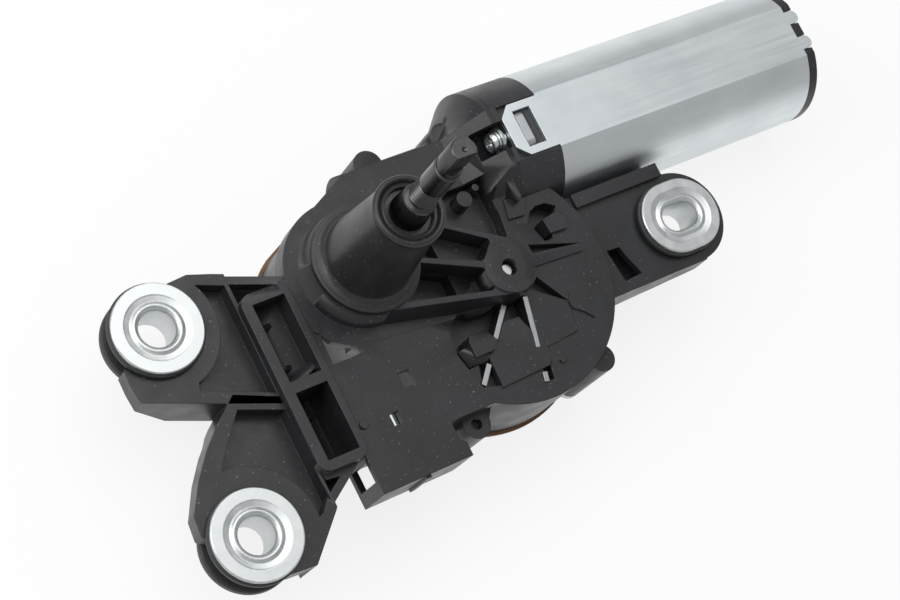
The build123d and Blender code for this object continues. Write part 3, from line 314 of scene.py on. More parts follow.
def turned_metal(name, first, second, rough, centre):
    """Plated metal with the fine rings that a lathe leaves round an axis along Z."""
    material, tree, shader = start_finish(name, metallic=1.0)
    cloud = object_noise(tree, LATHE_CLOUD_SCALE, 5)
    colour = blend_colours(tree, spread(tree, cloud, 0, 1), first, second)
    tree.links.new(colour, shader.inputs["Base Color"])
    place = tree.nodes.new("ShaderNodeTexCoord")
    mapping = tree.nodes.new("ShaderNodeMapping")
    mapping.inputs["Location"].default_value = (-centre[0], -centre[1], 0)
    mapping.inputs["Scale"].default_value = ALONG_Z
    rings = tree.nodes.new("ShaderNodeTexWave")
    rings.wave_type = "RINGS"
    rings.rings_direction = "Z"
    rings.inputs["Scale"].default_value = RING_SCALE
    rings.inputs["Distortion"].default_value = 1.5
    rings.inputs["Detail Scale"].default_value = 2.0
    tree.links.new(place.outputs["Object"], mapping.inputs["Vector"])
    tree.links.new(mapping.outputs[0], rings.inputs["Vector"])
    tree.links.new(spread(tree, cloud, *rough), shader.inputs["Roughness"])
    add_bump(tree, shader, rings.outputs["Fac"], RING_DEPTH, METAL_EDGE)
    return material


# name, first and second colour, range of roughness, and the direction of the streaks
METALS = [
    ("zinc_can", (0.68, 0.725, 0.75), (0.78, 0.82, 0.84), (0.36, 0.48), ALONG_X),
    ("zinc_sleeve", (0.46, 0.49, 0.51), (0.58, 0.60, 0.60), (0.26, 0.38)),
    ("cover_metal", (0.52, 0.53, 0.55), (0.62, 0.63, 0.64), (0.36, 0.5)),
    ("zinc_screw", (0.62, 0.66, 0.68), (0.76, 0.78, 0.78), (0.22, 0.34)),
    ("nut_steel", (0.5, 0.52, 0.54), (0.6, 0.62, 0.64), (0.3, 0.42)),
    ("strip_metal", (0.34, 0.35, 0.36), (0.46, 0.47, 0.48), (0.3, 0.42)),
    ("bright_steel", (0.58, 0.59, 0.6), (0.68, 0.69, 0.7), (0.18, 0.3)),
    ("gear_steel", (0.42, 0.42, 0.44), (0.52, 0.52, 0.54), (0.3, 0.42)),
    ("spring_steel", (0.4, 0.4, 0.42), (0.5, 0.5, 0.52), (0.25, 0.35)),
    ("bearing_steel", (0.6, 0.61, 0.63), (0.7, 0.71, 0.73), (0.18, 0.28)),
    ("dark_steel", (0.055, 0.054, 0.055), (0.10, 0.098, 0.10), (0.22, 0.34), ALONG_Z),
    ("core_iron", (0.22, 0.22, 0.23), (0.34, 0.34, 0.35), (0.45, 0.6), ALONG_PLATES),
    ("magnet", (0.07, 0.07, 0.075), (0.12, 0.12, 0.125), (0.5, 0.65)),
    ("winding_copper", (0.5, 0.2, 0.08), (0.66, 0.3, 0.13), (0.25, 0.4), ALONG_WIRES),
    ("bar_copper", (0.66, 0.34, 0.2), (0.78, 0.45, 0.28), (0.2, 0.35)),
    ("bush_bronze", (0.42, 0.28, 0.13), (0.56, 0.4, 0.2), (0.35, 0.5)),
    ("terminal_tin", (0.62, 0.6, 0.55), (0.72, 0.7, 0.66), (0.22, 0.34))]
finishes.update({name: plated_metal(name, *look) for name, *look in METALS})
print("with metals:", len(finishes))

# %% [markdown]
# The last few: pale gear plastic, the brown seal, the brush plate and the small board.
# The seal is a fibre sheet, so its grain is coarser and deeper than a plastic's.

# %% Other finishes
TINT_SCALE = 220


def coloured_plastic(name, first, second, rough, depth=0.00001, scale=1800):
    material, tree, shader = start_finish(name)
    cloud = object_noise(tree, TINT_SCALE, 4)
    colour = blend_colours(tree, spread(tree, cloud, 0, 1), first, second)
    tree.links.new(colour, shader.inputs["Base Color"])
    tree.links.new(spread(tree, cloud, *rough), shader.inputs["Roughness"])
    add_bump(tree, shader, object_noise(tree, scale, 2), depth)
    return material


# name, first and second colour, range of roughness, and a grain's depth and scale
COLOURED = [
    ("wheel_plastic", (0.72, 0.7, 0.62), (0.8, 0.78, 0.72), (0.35, 0.5)),
    ("gasket", (0.15, 0.075, 0.035), (0.25, 0.135, 0.07), (0.6, 0.8), 0.00006, 900),
    ("holder_plastic", (0.2, 0.13, 0.07), (0.27, 0.18, 0.1), (0.4, 0.55)),
    ("board", (0.03, 0.17, 0.07), (0.05, 0.22, 0.1), (0.25, 0.4))]
finishes.update({name: coloured_plastic(name, *look) for name, *look in COLOURED})
print("finishes:", len(finishes))

# %% [markdown]
# The record names a finish for every fixed piece. They all get it here, also those that
# a finer piece replaces further down.

# %% Give every fixed piece its finish
slot_of = {part["node"]: part["material_slot"] for part in frame["record"]["subparts"]}


def wear_finish(piece, slot):
    piece.data.materials.clear()
    piece.data.materials.append(finishes[slot])


for name, piece in nodes.items():
    wear_finish(piece, slot_of[name])
print("dressed:", len(nodes))

# %% [markdown]
# Round pieces come from a lathe. Here the lathe is a circle that is pulled up ring by
# ring: each ring is extruded to the next height and then resized to its radius, which
# keeps every crease of the profile where it is wanted.

# %% A lathe out of extruded rings
LATHE_POINTS = 128       # points round a turned piece
SAME_POINT = 0.002       # millimetres within which two points are one


def close_mesh(merge=SAME_POINT):
    """Merge double points, fill the holes and turn the faces outwards."""
    bpy.ops.mesh.select_all(action="SELECT")
    bpy.ops.mesh.remove_doubles(threshold=merge * MM)
    bpy.ops.mesh.fill_holes(sides=0)
    bpy.ops.mesh.select_all(action="SELECT")
    bpy.ops.mesh.normals_make_consistent(inside=False)
    bpy.ops.object.mode_set(mode="OBJECT")


def turned(name, profile, points=LATHE_POINTS, place=(0, 0, 0)):
    """A closed round piece about Z through (radius, height) pairs in millimetres."""
    bpy.ops.object.select_all(action="DESELECT")
    radius, height = profile[0]
    bpy.ops.mesh.primitive_circle_add(vertices=points, radius=radius * MM,
                                      location=(0, 0, height * MM))
    piece = bpy.context.object
    piece.name = name
    bpy.ops.object.mode_set(mode="EDIT")
    bpy.ops.mesh.select_all(action="SELECT")
    for (near, low), (far, high) in zip(profile, profile[1:]):
        bpy.ops.mesh.extrude_edges_move(TRANSFORM_OT_translate={"value": (0, 0, (high - low) * MM)})
        if far != near:
            bpy.ops.transform.resize(value=(far / near, far / near, 1), center_override=(0, 0, 0))
    close_mesh()
    piece.location = [start + shift * MM for start, shift in zip(piece.location, place)]
    bpy.ops.object.transform_apply(location=True, rotation=True, scale=True)
    return piece


def take_up(*pieces):
    """Select only these pieces; the first is the one that operators act on."""
    bpy.ops.object.select_all(action="DESELECT")
    for piece in pieces:
        piece.select_set(True)
    bpy.context.view_layer.objects.active = pieces[0]


def smooth(piece, angle=32):
    """Shade a piece smooth, but keep edges sharper than the angle in degrees."""
    take_up(piece)
    bpy.ops.object.shade_smooth_by_angle(angle=math.radians(angle))
    return piece


def belongs(piece, body, slot, *replaced, finish=None):
    """Give a piece its finish and let it move with its body."""
    wear_finish(piece, finish or slot)
    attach(piece, body)
    if replaced:
        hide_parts(*replaced)


def pick_points(piece, wanted):
    """Select in edit mode the points for which wanted(place) is true."""
    bpy.ops.mesh.select_all(action="DESELECT")
    bpy.ops.mesh.select_mode(type="VERT")
    mesh = bmesh.from_edit_mesh(piece.data)
    for point in mesh.verts:
        point.select = wanted(point.co)
    mesh.select_flush(True)
    bmesh.update_edit_mesh(piece.data)


print("flats on a turned piece of 10 mm radius:", round(2 * math.pi * 10 / LATHE_POINTS, 2), "mm")

# %% [markdown]
# The housing is one black moulding. The fixed model has its walls, bores and bosses; what
# it lacks is the drafted foot of the tower, the stepped pockets between the ribs and the
# true outlines of the two left arms. So a merged copy of it is carved: the raised forms
# come off, the old pockets are filled, and the right ones are cut and added one by one.

# %% Slabs and carving
HAIR = 0.02              # keeps two faces out of one plane, which carving can't sort out
CORNER_LIMIT = 0.4       # keeps a very sharp corner from running away when it is drawn in


def slab(outline, low, high, top=None):
    """A block on an outline in millimetres; with top, its sides lean to that outline."""
    bpy.ops.object.select_all(action="DESELECT")
    bpy.ops.mesh.primitive_circle_add(vertices=len(outline), radius=MM, fill_type="NGON",
                                      location=(0, 0, 0))
    block = bpy.context.object
    block.name = "slab"
    for point, (x, y) in zip(block.data.vertices, outline):
        point.co = (x * MM, y * MM, low * MM)
    bpy.ops.object.mode_set(mode="EDIT")
    bpy.ops.mesh.select_all(action="SELECT")
    bpy.ops.mesh.extrude_region_move(TRANSFORM_OT_translate={"value": (0, 0, (high - low) * MM)})
    bpy.ops.mesh.select_all(action="SELECT")
    bpy.ops.mesh.normals_make_consistent(inside=False)
    bpy.ops.object.mode_set(mode="OBJECT")
    if top:
        corners = range(len(outline))
        raised = [point for point in block.data.vertices if point.co.z > (low + high) / 2 * MM]
        for point in raised:
            nearest = min(corners, key=lambda at: math.dist(outline[at], point.co.xy / MM))
            point.co.x, point.co.y = top[nearest][0] * MM, top[nearest][1] * MM
    return block


def ring_points(radius, place=(0, 0), count=96):
    """The outline of a round."""
    return [(place[0] + radius * math.cos(2 * math.pi * step / count),
             place[1] + radius * math.sin(2 * math.pi * step / count)) for step in range(count)]


def box_points(x0, x1, y0, y1):
    """The outline of a rectangle."""
    return [(x0, y0), (x1, y0), (x1, y1), (x0, y1)]


def carve(piece, tool, how="DIFFERENCE"):
    """Cut a tool out of a piece, or join it on, and put the tool away."""
    modifier = piece.modifiers.new("carve", "BOOLEAN")
    modifier.operation = how
    modifier.solver = "EXACT"
    modifier.object = tool
    bpy.context.view_layer.objects.active = piece
    bpy.ops.object.modifier_apply(modifier="carve")
    bpy.data.objects.remove(tool, do_unlink=True)
    return piece


def less_rounds(tool, low, high, *rounds):
    """Leave rounds standing inside a cutting tool, so that it doesn't cut them."""
    for place, radius in rounds:
        carve(tool, slab(ring_points(radius, place), low, high))
    return tool


def shrunk(outline, step):
    """The outline drawn in by a step; the new points run anticlockwise."""
    area = sum(a[0] * b[1] - b[0] * a[1] for a, b in zip(outline, outline[1:] + outline[:1]))
    points = outline if area > 0 else outline[::-1]
    result = []
    for before, here, after in zip(points[-1:] + points[:-1], points, points[1:] + points[:1]):
        first = Vector((here[0] - before[0], here[1] - before[1])).normalized()
        second = Vector((after[0] - here[0], after[1] - here[1])).normalized()
        inward = Vector((-first.y - second.y, first.x + second.x))
        reach = 2 * step / max(inward.length_squared, CORNER_LIMIT)
        result.append((here[0] + inward.x * reach, here[1] + inward.y * reach))
    return result


print("a slab of", len(slab(box_points(0, 1, 0, 1), 0, 1).data.polygons), "faces")
bpy.data.objects.remove(bpy.data.objects["slab"], do_unlink=True)

# %% [markdown]
# A fixed piece's mesh is loose triangles, so the copy's points are merged first. Then one
# slab takes off all that stands on the plate, and another fills the pockets. Both leave
# the tower and the core of the hub alone, because those are round and right already.

# %% Take off the raised forms and fill the old pockets
PLATE_Z = -2.0           # top of the plate on which ribs and pads stand
CUT_TOP = 8.0            # higher than all that is cut
OVER = 1                 # how far a cutting tool reaches past what it cuts
FILL_FOOT = -8.2
LOW, HIGH = -9, 9        # reach of the rounds that stay uncut
HUB_PLACE = (40.6, -17.1)
TOWER_CORE = ((0, 0), 12.0)
HUB_CORE = (HUB_PLACE, 4.6)

housing = nodes["gear_housing"].copy()
housing.data = nodes["gear_housing"].data.copy()
housing.name = "housing_look"
bpy.context.scene.collection.objects.link(housing)
take_up(housing)
bpy.ops.object.mode_set(mode="EDIT")
bpy.ops.mesh.select_all(action="SELECT")
bpy.ops.mesh.remove_doubles(threshold=SAME_POINT * MM)
bpy.ops.object.mode_set(mode="OBJECT")

RAISED = [(-21.95, -58), (76, -58), (79, -18), (79, -2.2), (59.9, -2.2), (50, 2.5), (43.9, 6),
          (43.9, 22.5), (-21.95, 22.5)]
FILLED = [(14.0, -14.5), (6.5, -17.5), (17.5, -27.0), (17.0, -33.0), (18.0, -46.0), (22.0, -50.0),
          (41.5, -51.3), (60.0, -41.0), (71.0, -20.0), (71.0, -4.0), (51.0, -3.0), (50.4, 12.3),
          (19.0, 12.3), (15.0, 9.0), (16.5, 5.0), (16.5, -5.0)]
raised = slab(RAISED, PLATE_Z + 2 * HAIR, CUT_TOP)
carve(housing, less_rounds(raised, PLATE_Z - OVER, HIGH, TOWER_CORE, HUB_CORE))
filling = slab(FILLED, FILL_FOOT, PLATE_Z + HAIR)
carve(housing, less_rounds(filling, LOW, 0, HUB_CORE), "UNION")
print("plain housing:", len(housing.data.polygons), "faces")

# %% [markdown]
# The tower stands on a drafted cone, and a web, also drafted, runs from it to the wheel's
# hub. Moulded walls lean like this so that they leave the mould. Each is a slab whose top
# outline is a little smaller than its foot.

# %% Tower foot and web
FOOT_R, FOOT_TOP_R, FOOT_TOP, FOOT_BORE_R = 17.7, 16.2, 5.6, 10.5
WEB_TOP_Z = 5.4
SUNK = 0.6               # how far foot and web reach down into the plate
WEB_LOW, WEB_HIGH = -4, 7            # reach of what is cut out of foot and web
WEB_HUB_R = 5.5
FAR_SIDE = [(-4, 11), (13.8, 10.7), (28.8, 1.3), (44.4, -8.5), (47.2, -12.5), (47.2, -21.5),
            (43.9, -25.2)]
WEB_FOOT = FAR_SIDE + [(41.2, -25.5), (34.6, -24.5), (22.7, -22.9), (7.4, -19.4), (-5.0, -16.7)]
WEB_TOP = FAR_SIDE + [(41.2, -25.3), (34.6, -23.9), (22.7, -21.1), (7.4, -17.7), (-5.0, -14.9)]

foot = slab(ring_points(FOOT_R), PLATE_Z - SUNK, FOOT_TOP, ring_points(FOOT_TOP_R))
carve(foot, slab(ring_points(FOOT_BORE_R), WEB_LOW, WEB_HIGH))
carve(housing, foot, "UNION")
web = slab(WEB_FOOT, PLATE_Z - SUNK, WEB_TOP_Z, WEB_TOP)
carve(housing, less_rounds(web, WEB_LOW, WEB_HIGH, TOWER_CORE, (HUB_PLACE, WEB_HUB_R)), "UNION")
print("with foot and web:", len(housing.data.polygons), "faces")

# %% [markdown]
# Pockets leave only thin ribs of the web standing. The two near ones are deep by the
# tower and shallow by the hub, so each is cut twice. The hub is added last, as a ring
# that covers the ends of the ribs.

# %% Pockets and hub
POCKET_Z = -7.8          # floor of the deep pockets
SHELF_Z = -2.2           # floor of the shallow ones
SHELF_AREA = (25.4, 80, -40, 40)     # where the near pockets are shallow
HUB_R, HUB_BORE_R, HUB_TOP, HUB_FOOT = 7.9, 4.1, 5.98, -8.6
HUB_ROOM_R, DEEP_HUB_ROOM_R = 6.8, 6.9
TOWER_ROOM_R, DEEP_TOWER_ROOM_R = FOOT_TOP_R + 0.5, FOOT_TOP_R + 0.6
NEAR_POCKETS = [
    [(14.4, 9.4), (38.7, -7.0), (38.8, -8.1), (34.4, -12.1), (33.4, -12.3), (12, -3.2)],
    [(11, -4.4), (32.9, -14.3), (33.0, -17.3), (33.4, -21.0), (32.4, -21.5), (4, -15.0)]]
SIDE_POCKET = [(10, 14.3), (10, 13.2), (13.8, 12.3), (28.8, 1.3), (44.4, -8.5), (47.3, -9.6),
               (49.5, -6.1), (50.4, 0.2), (50.3, 3.0), (50.3, 7.5), (50.3, 12.2), (16.0, 12.2)]
FAN = [(19.6, -24.6), (22.4, -22.9), (34.6, -24.5), (41.2, -25.5), (46.6, -24.6), (42.2, -41.0),
       (36.0, -36.0), (30.0, -36.0), (24.0, -38.6), (17.8, -38.8), (16.6, -33.5), (17.4, -27.4)]
RECESSES = [             # height of the floor and outline
    (-5.0, [(21.4, -38.0), (26.2, -38.0), (25.4, -46.8), (19.4, -45.0)]),
    (-5.0, [(39.6, -46.6), (42.4, -46.4), (41.4, -50.9), (38.9, -50.7)]),
    (-5.5, [(54.2, -11.4), (70.5, -16.6), (54.4, -14.2)]),
    (-5.5, [(51.8, -21.3), (48.0, -23.9), (57.8, -31.5)]),
    (-7.2, [(57.8, -5.0), (60.0, -2.4), (62.7, -1.3), (66.1, -1.5), (69.1, -3.5), (64.0, -8.0),
            (63.0, -12.4), (60.0, -12.2), (58.4, -7.2)])]


def carve_pocket(outline, floor, *rounds):
    carve(housing, less_rounds(slab(outline, floor, CUT_TOP), LOW, HIGH, *rounds))


for outline in NEAR_POCKETS:
    carve_pocket(outline, SHELF_Z, ((0, 0), TOWER_ROOM_R), (HUB_PLACE, HUB_ROOM_R))
    deep = slab(shrunk(outline, HAIR), POCKET_Z, SHELF_Z + OVER)
    less_rounds(deep, LOW, HIGH, ((0, 0), DEEP_TOWER_ROOM_R), (HUB_PLACE, DEEP_HUB_ROOM_R))
    carve(deep, slab(box_points(*SHELF_AREA), LOW, HIGH))
    carve(housing, deep)
carve_pocket(SIDE_POCKET, POCKET_Z, ((0, 0), FOOT_R), (HUB_PLACE, HUB_ROOM_R))
carve_pocket(FAN, POCKET_Z, (HUB_PLACE, HUB_ROOM_R))
for floor, outline in RECESSES:
    carve_pocket(outline, floor)
hub = slab(ring_points(HUB_R, HUB_PLACE), HUB_FOOT, HUB_TOP)
carve(hub, slab(ring_points(HUB_BORE_R, HUB_PLACE), LOW, HIGH))
carve(housing, hub, "UNION")
print("with pockets:", len(housing.data.polygons), "faces")

# %% [markdown]
# Small pads, blocks, pins and ribs stand on the plate. Each is a slab whose foot lies
# inside the plate, so that it becomes one with it. Every foot lies a hair lower than the
# last one, because two feet in one plane would spoil the carving.

# %% Raised pads, blocks and pins
PAD_FOOT = -8.4
TALL_PAD, TALL_PAD_FOOT = 4, -3.0
PIN_POINTS = 32
PIN_FOOT, LEFT_PIN_FOOT = -8.8, -4.0
PADS = [                 # height above the plate and outline
    (0.9, [(39.6, -30.3), (33.8, -30.0), (25.1, -38.0), (24.7, -47.4), (41.9, -46.8),
           (43.3, -45.0), (43.8, -41.3)]),
    (2.6, [(21.2, -30.5), (26.9, -30.7), (29.2, -34.3), (27.4, -36.8), (20.4, -36.8),
           (20.4, -32.1)]),
    (0.6, [(17.2, -32.9), (20.6, -32.6), (27.4, -36.8), (23.7, -38.8), (18.0, -38.2)]),
    (-0.25, [(25.6, -22.0), (33.7, -23.8), (33.9, -24.9), (30.6, -25.3), (27.0, -24.9),
             (25.5, -23.6)]),
    (0.5, [(44.8, -24.4), (41.9, -40.2), (43.2, -41.7), (55.8, -40.6), (56.5, -36.4),
           (57.0, -31.7), (47.6, -24.3)]),
    (1.4, [(61.9, -6.2), (67.4, -5.3), (69.4, -6.6), (69.8, -8.6), (68.3, -11.2), (62.3, -10.9)]),
    (0.8, [(47.6, -16.0), (54.3, -16.2), (70.1, -18.5), (69.7, -19.2), (53.6, -18.4),
           (47.6, -18.6)]),
    (0.7, [(59.0, -29.3), (59.5, -31.8), (61.7, -33.8), (61.7, -35.6), (63.0, -39.1), (60.4, -36.0),
           (57.6, -34.0), (57.4, -31.6)]),
    (1.0, [(53.3, 3.6), (60.9, 1.9), (57.4, -2.9), (52.0, -2.4)]),
    (4.2, [(55.2, 12.8), (57.5, 12.8), (57.5, 2.4), (56.4, 1.0), (55.2, 3.4)])]
PINS = [                 # place, radius and height of the top
    (46.7, -46.6, 1.1, -1.2), (-19.4, -12.2, 1.1, -1.2), (-19.5, -41.5, 1.25, -1.2),
    (46.8, 10.2, 1.1, -1.2), (68.6, -6.6, 1.1, -1.2), (42.2, 8.2, 2.5, -2.0)]

for number, (height, outline) in enumerate(PADS):
    foot = PAD_FOOT if height < TALL_PAD else TALL_PAD_FOOT
    carve(housing, slab(outline, foot - HAIR * number, PLATE_Z + height), "UNION")
for number, (x, y, radius, top) in enumerate(PINS):
    foot = PIN_FOOT if x > 0 else LEFT_PIN_FOOT
    pin = slab(ring_points(radius, (x, y), PIN_POINTS), foot - HAIR * number, top)
    carve(housing, pin, "UNION")
print("with pads and pins:", len(housing.data.polygons), "faces")

# %% [markdown]
# Two straight light lines fan out from the hub: strips of metal that lie in slots on top
# of ribs and are hidden where pads cover them. A line is its two ends, and the shares of
# it that show.

# %% Metal strips on their ribs
STRIP_LINES = [((39.7, -22.9), (19.6, -44.6), ((0.12, 0.52), (0.77, 1.0))),
               ((45.1, -24.7), (38.6, -50.8), ((0.03, 0.61), (0.89, 1.0)))]
STRIP_W, STRIP_TOP, STRIP_T, STRIP_ROOM = 1.5, -1.45, 0.6, 0.1
RIB_FOOT = -8.9


def strip_outline(start, end, near, far, room=0.0):
    """A narrow rectangle that covers a part of the line between two points."""
    along = Vector(end) - Vector(start)
    side = Vector((-along.y, along.x)).normalized() * (STRIP_W / 2 + room)
    first = Vector(start) + along * near - along.normalized() * room
    last = Vector(start) + along * far + along.normalized() * room
    return [tuple(first - side), tuple(last - side), tuple(last + side), tuple(first + side)]


strips = []
for start, end, parts in STRIP_LINES:
    for near, far in parts:
        bottom = STRIP_TOP - STRIP_T
        outline = strip_outline(start, end, near, far)
        carve(housing, slab(strip_outline(start, end, near, far, STRIP_ROOM), bottom, CUT_TOP))
        rib = slab(outline, RIB_FOOT - HAIR * len(strips), bottom + HAIR / 2)
        carve(housing, rib, "UNION")
        strips.append(slab(outline, bottom, STRIP_TOP))
take_up(*strips)
bpy.ops.object.join()
strips[0].name = "strips_look"
belongs(strips[0], "base", "strip_metal", "pocket_strips")
print("strips:", len(strips[0].data.polygons), "faces")

# %% [markdown]
# The two left arms are trays: a plate with a sunken floor, hollow behind, and an eye
# that is open to the side, in which the grommet sits. Their backs slope, which a slab
# pulled out along X or Y cuts in one stroke.

# %% Shapes of the left arms
EYE_TOP, EYE_BACK, ARM_BACK, ARM_FLOOR, WALL = -3.4, -9.0, -19.0, -8.8, 2.4
UPPER_ARM = [(-53.0, 15.5), (-46.6, 16.0), (-40.1, 13.9), (-36.5, 12.55), (-36.5, -27.6),
             (-52.0, -21.6), (-74.2, -12.7), (-74.8, -7.8), (-74.7, -3.1)]
LOWER_ARM = [(-49.6, -19.8), (-57.5, -25.8), (-63.1, -31.0), (-68.8, -37.6), (-74.5, -46.1),
             (-75.1, -51.7), (-61.3, -70.2), (-49.0, -71.1), (-37.1, -59.7), (-36.5, -59.0),
             (-36.5, -25.5)]
UPPER_TRAY = [(-47.5, 13.2), (-37.7, 9.4), (-37.7, -23.8), (-41.1, -22.3), (-57.5, -15.5)]
LOWER_TRAY = [(-50.3, -24.1), (-41.8, -27.4), (-37.7, -29.0), (-37.7, -55.4), (-40.9, -59.0),
              (-42.8, -59.7), (-46.0, -56.0), (-62.0, -38.0), (-59.2, -34.1)]
SLEEVE_X, UPPER_EYE_Y, LOWER_EYE_Y = -61.8, 4.1, -57.6
UPPER_TRAY_R, LOWER_TRAY_R = 18.2, 19.5
NECK_HOLE_R, LIP_ROOM_R, EYE_WALL_R = 9.7, 13.9, 14.4
MID_ARM = -10            # between the tray's floor and the hollow behind it
UPPER_BACK = [(-64.5, -20.0), (-64.5, -19.0), (-74.8, -10.0), (-90, -10.0), (-90, -20.0)]
LOWER_BACK = [(-23.5, -20.0), (-23.5, -19.0), (-29.0, -12.5), (-45.0, -9.6), (-90, -9.6),
              (-90, -20.0)]


def bracket_arm(outline, tray, eye_y, tray_r):
    eye = (SLEEVE_X, eye_y)
    arm = slab(outline, ARM_BACK, EYE_TOP)
    carve(arm, less_rounds(slab(tray, ARM_FLOOR, 0), MID_ARM, OVER, (eye, tray_r)))
    hollow = slab(shrunk(outline, WALL), ARM_BACK - OVER, ARM_FLOOR - WALL)
    carve(arm, less_rounds(hollow, ARM_BACK - 2 * OVER, MID_ARM, (eye, EYE_WALL_R)))
    carve(arm, slab(ring_points(LIP_ROOM_R, eye), ARM_BACK - OVER, EYE_BACK))
    return carve(arm, slab(ring_points(NECK_HOLE_R, eye), ARM_BACK - OVER, 0))


def turned_slab(outline, low, high, places):
    """A block pulled out along X or Y instead of Z; places says which value goes where."""
    block = slab(outline, low, high)
    for point in block.data.vertices:
        values = tuple(point.co)
        point.co = [sign * values[number] for sign, number in places]
    return block


print("upper arm:", len(UPPER_ARM), "corners, lower arm:", len(LOWER_ARM), "corners")

# %% [markdown]
# Everything left of the case comes off, and the new arms are joined to it one by one.

# %% Left arms
ALONG_Y_AXIS = ((1, 0), (-1, 2), (1, 1))
ALONG_X_AXIS = ((1, 2), (1, 0), (1, 1))
LEFT_OF_CASE, OLD_LOW, OLD_HIGH = (-90, -37.6, -90, 40), -25, 3
UPPER_BACK_REACH = 60
LOWER_BACK_FROM, LOWER_BACK_TO = -90, -49

carve(housing, slab(box_points(*LEFT_OF_CASE), OLD_LOW, OLD_HIGH))
lower = bracket_arm(LOWER_ARM, LOWER_TRAY, LOWER_EYE_Y, LOWER_TRAY_R)
carve(lower, turned_slab(LOWER_BACK, LOWER_BACK_FROM, LOWER_BACK_TO, ALONG_X_AXIS))
upper = bracket_arm(UPPER_ARM, UPPER_TRAY, UPPER_EYE_Y, UPPER_TRAY_R)
carve(upper, turned_slab(UPPER_BACK, -UPPER_BACK_REACH, UPPER_BACK_REACH, ALONG_Y_AXIS))
carve(housing, upper, "UNION")
carve(housing, lower, "UNION")
print("with arms:", len(housing.data.polygons), "faces")

# %% [markdown]
# The right bracket's window has a floor, and one screw boss a hole. Carving leaves slivers
# and cut-up flats behind, which catch the light. So close points are merged, flat faces
# are joined again, and the large faces decide how the edges between them are shaded.

# %% Bracket floor, boss hole and finish
BRACKET_FLOOR, FLOOR_LOW, FLOOR_HIGH = (74.0, 92.5, -33.6, -18.4), -13.1, -11.0
BOSS_PLACE, BOSS_HOLE_R, BOSS_POINTS, BOSS_LOW, BOSS_HIGH = (14.8, -53.2), 1.7, 24, -10.0, -5.0
SLIVER = 0.004
FLAT_ANGLE = 0.4

carve(housing, slab(box_points(*BRACKET_FLOOR), FLOOR_LOW, FLOOR_HIGH), "UNION")
carve(housing, slab(ring_points(BOSS_HOLE_R, BOSS_PLACE, BOSS_POINTS), BOSS_LOW, BOSS_HIGH))
take_up(housing)
bpy.ops.object.mode_set(mode="EDIT")
bpy.ops.mesh.select_all(action="SELECT")
bpy.ops.mesh.remove_doubles(threshold=SLIVER * MM)
bpy.ops.mesh.dissolve_degenerate(threshold=SAME_POINT * MM)
bpy.ops.mesh.select_all(action="SELECT")
bpy.ops.mesh.dissolve_limited(angle_limit=math.radians(FLAT_ANGLE))
bpy.ops.mesh.select_all(action="SELECT")
bpy.ops.mesh.fill_holes(sides=0)
bpy.ops.mesh.select_all(action="SELECT")
bpy.ops.mesh.normals_make_consistent(inside=False)
bpy.ops.object.mode_set(mode="OBJECT")
belongs(smooth(housing, angle=30), "base", "moulding", "gear_housing")
weights = housing.modifiers.new("flat_faces_first", "WEIGHTED_NORMAL")
weights.weight = 100
weights.keep_sharp = True
bpy.ops.object.modifier_apply(modifier="flat_faces_first")
print("housing:", [round(edge / MM, 1) for edge in housing.dimensions])

# %% [markdown]
# The output shaft shows a knurled cone, a thread, a groove and a tip with one flat. The
# knurl is a cone of 96 points round with every other one pushed in, so it has 48 teeth.

# %% Output shaft with its knurl
SHAFT_PROFILE = [(3.4, -29.0), (4.0, -28.6), (4.0, -25.9), (5.0, -25.9), (5.0, 39.8),
                 (5.36, 40.5), (5.4, 41.1), (4.86, 48.9), (4.72, 49.2), (4.6, 49.7),
                 (3.9, 50.1), (3.35, 50.3), (3.35, 58.6), (3.8, 58.9), (3.8, 69.1),
                 (3.7, 69.3), (3.3, 69.5), (3.3, 70.9), (3.3, 71.3)]
KNURL_LOW, KNURL_HIGH = 41.0, 49.0
KNURL_POINTS = 96
KNURL_DEPTH = 0.945      # share of the radius that a valley keeps

shaft = turned("shaft_look", SHAFT_PROFILE, KNURL_POINTS)
bpy.ops.object.mode_set(mode="EDIT")


def is_knurl_valley(place):
    height = place.z / MM
    number = round(math.atan2(place.y, place.x) / (2 * math.pi) * KNURL_POINTS)
    return KNURL_LOW < height < KNURL_HIGH and number % 2 == 1


pick_points(shaft, is_knurl_valley)
bpy.ops.transform.resize(value=(KNURL_DEPTH, KNURL_DEPTH, 1), center_override=(0, 0, 0))
bpy.ops.object.mode_set(mode="OBJECT")
belongs(smooth(shaft, angle=24), "output", "dark_steel", "output_shaft")
print("shaft:", len(shaft.data.polygons), "faces")

# %% [markdown]
# The tip is turned by itself and cut by one plane, because the flat stops at the groove.
# On its end is the small pit in which a lathe's centre held the shaft.

# %% Shaft tip with its flat
FLAT_AT = -1.75
TIP_POINTS = 72
TIP_PROFILE = [(3.25, 70.9), (3.3, 71.2), (3.7, 71.5), (3.72, 79.9), (3.55, 80.35), (3.2, 80.6),
               (0.75, 80.6), (0.3, 80.2), (0.05, 80.1)]
tip = turned("shaft_tip", TIP_PROFILE, TIP_POINTS)
bpy.ops.object.mode_set(mode="EDIT")
bpy.ops.mesh.select_all(action="SELECT")
bpy.ops.mesh.bisect(plane_co=(0, FLAT_AT * MM, 0), plane_no=(0, -1, 0), use_fill=True,
                    clear_outer=True)
bpy.ops.object.mode_set(mode="OBJECT")
belongs(smooth(tip, angle=30), "output", "dark_steel")
print("tip:", [round(edge / MM, 2) for edge in tip.dimensions])

# %% [markdown]
# The thread is one bent line, the outline of a single turn, wound up the shaft by the
# Screw modifier. Its feet lie inside the core, so no gap shows.

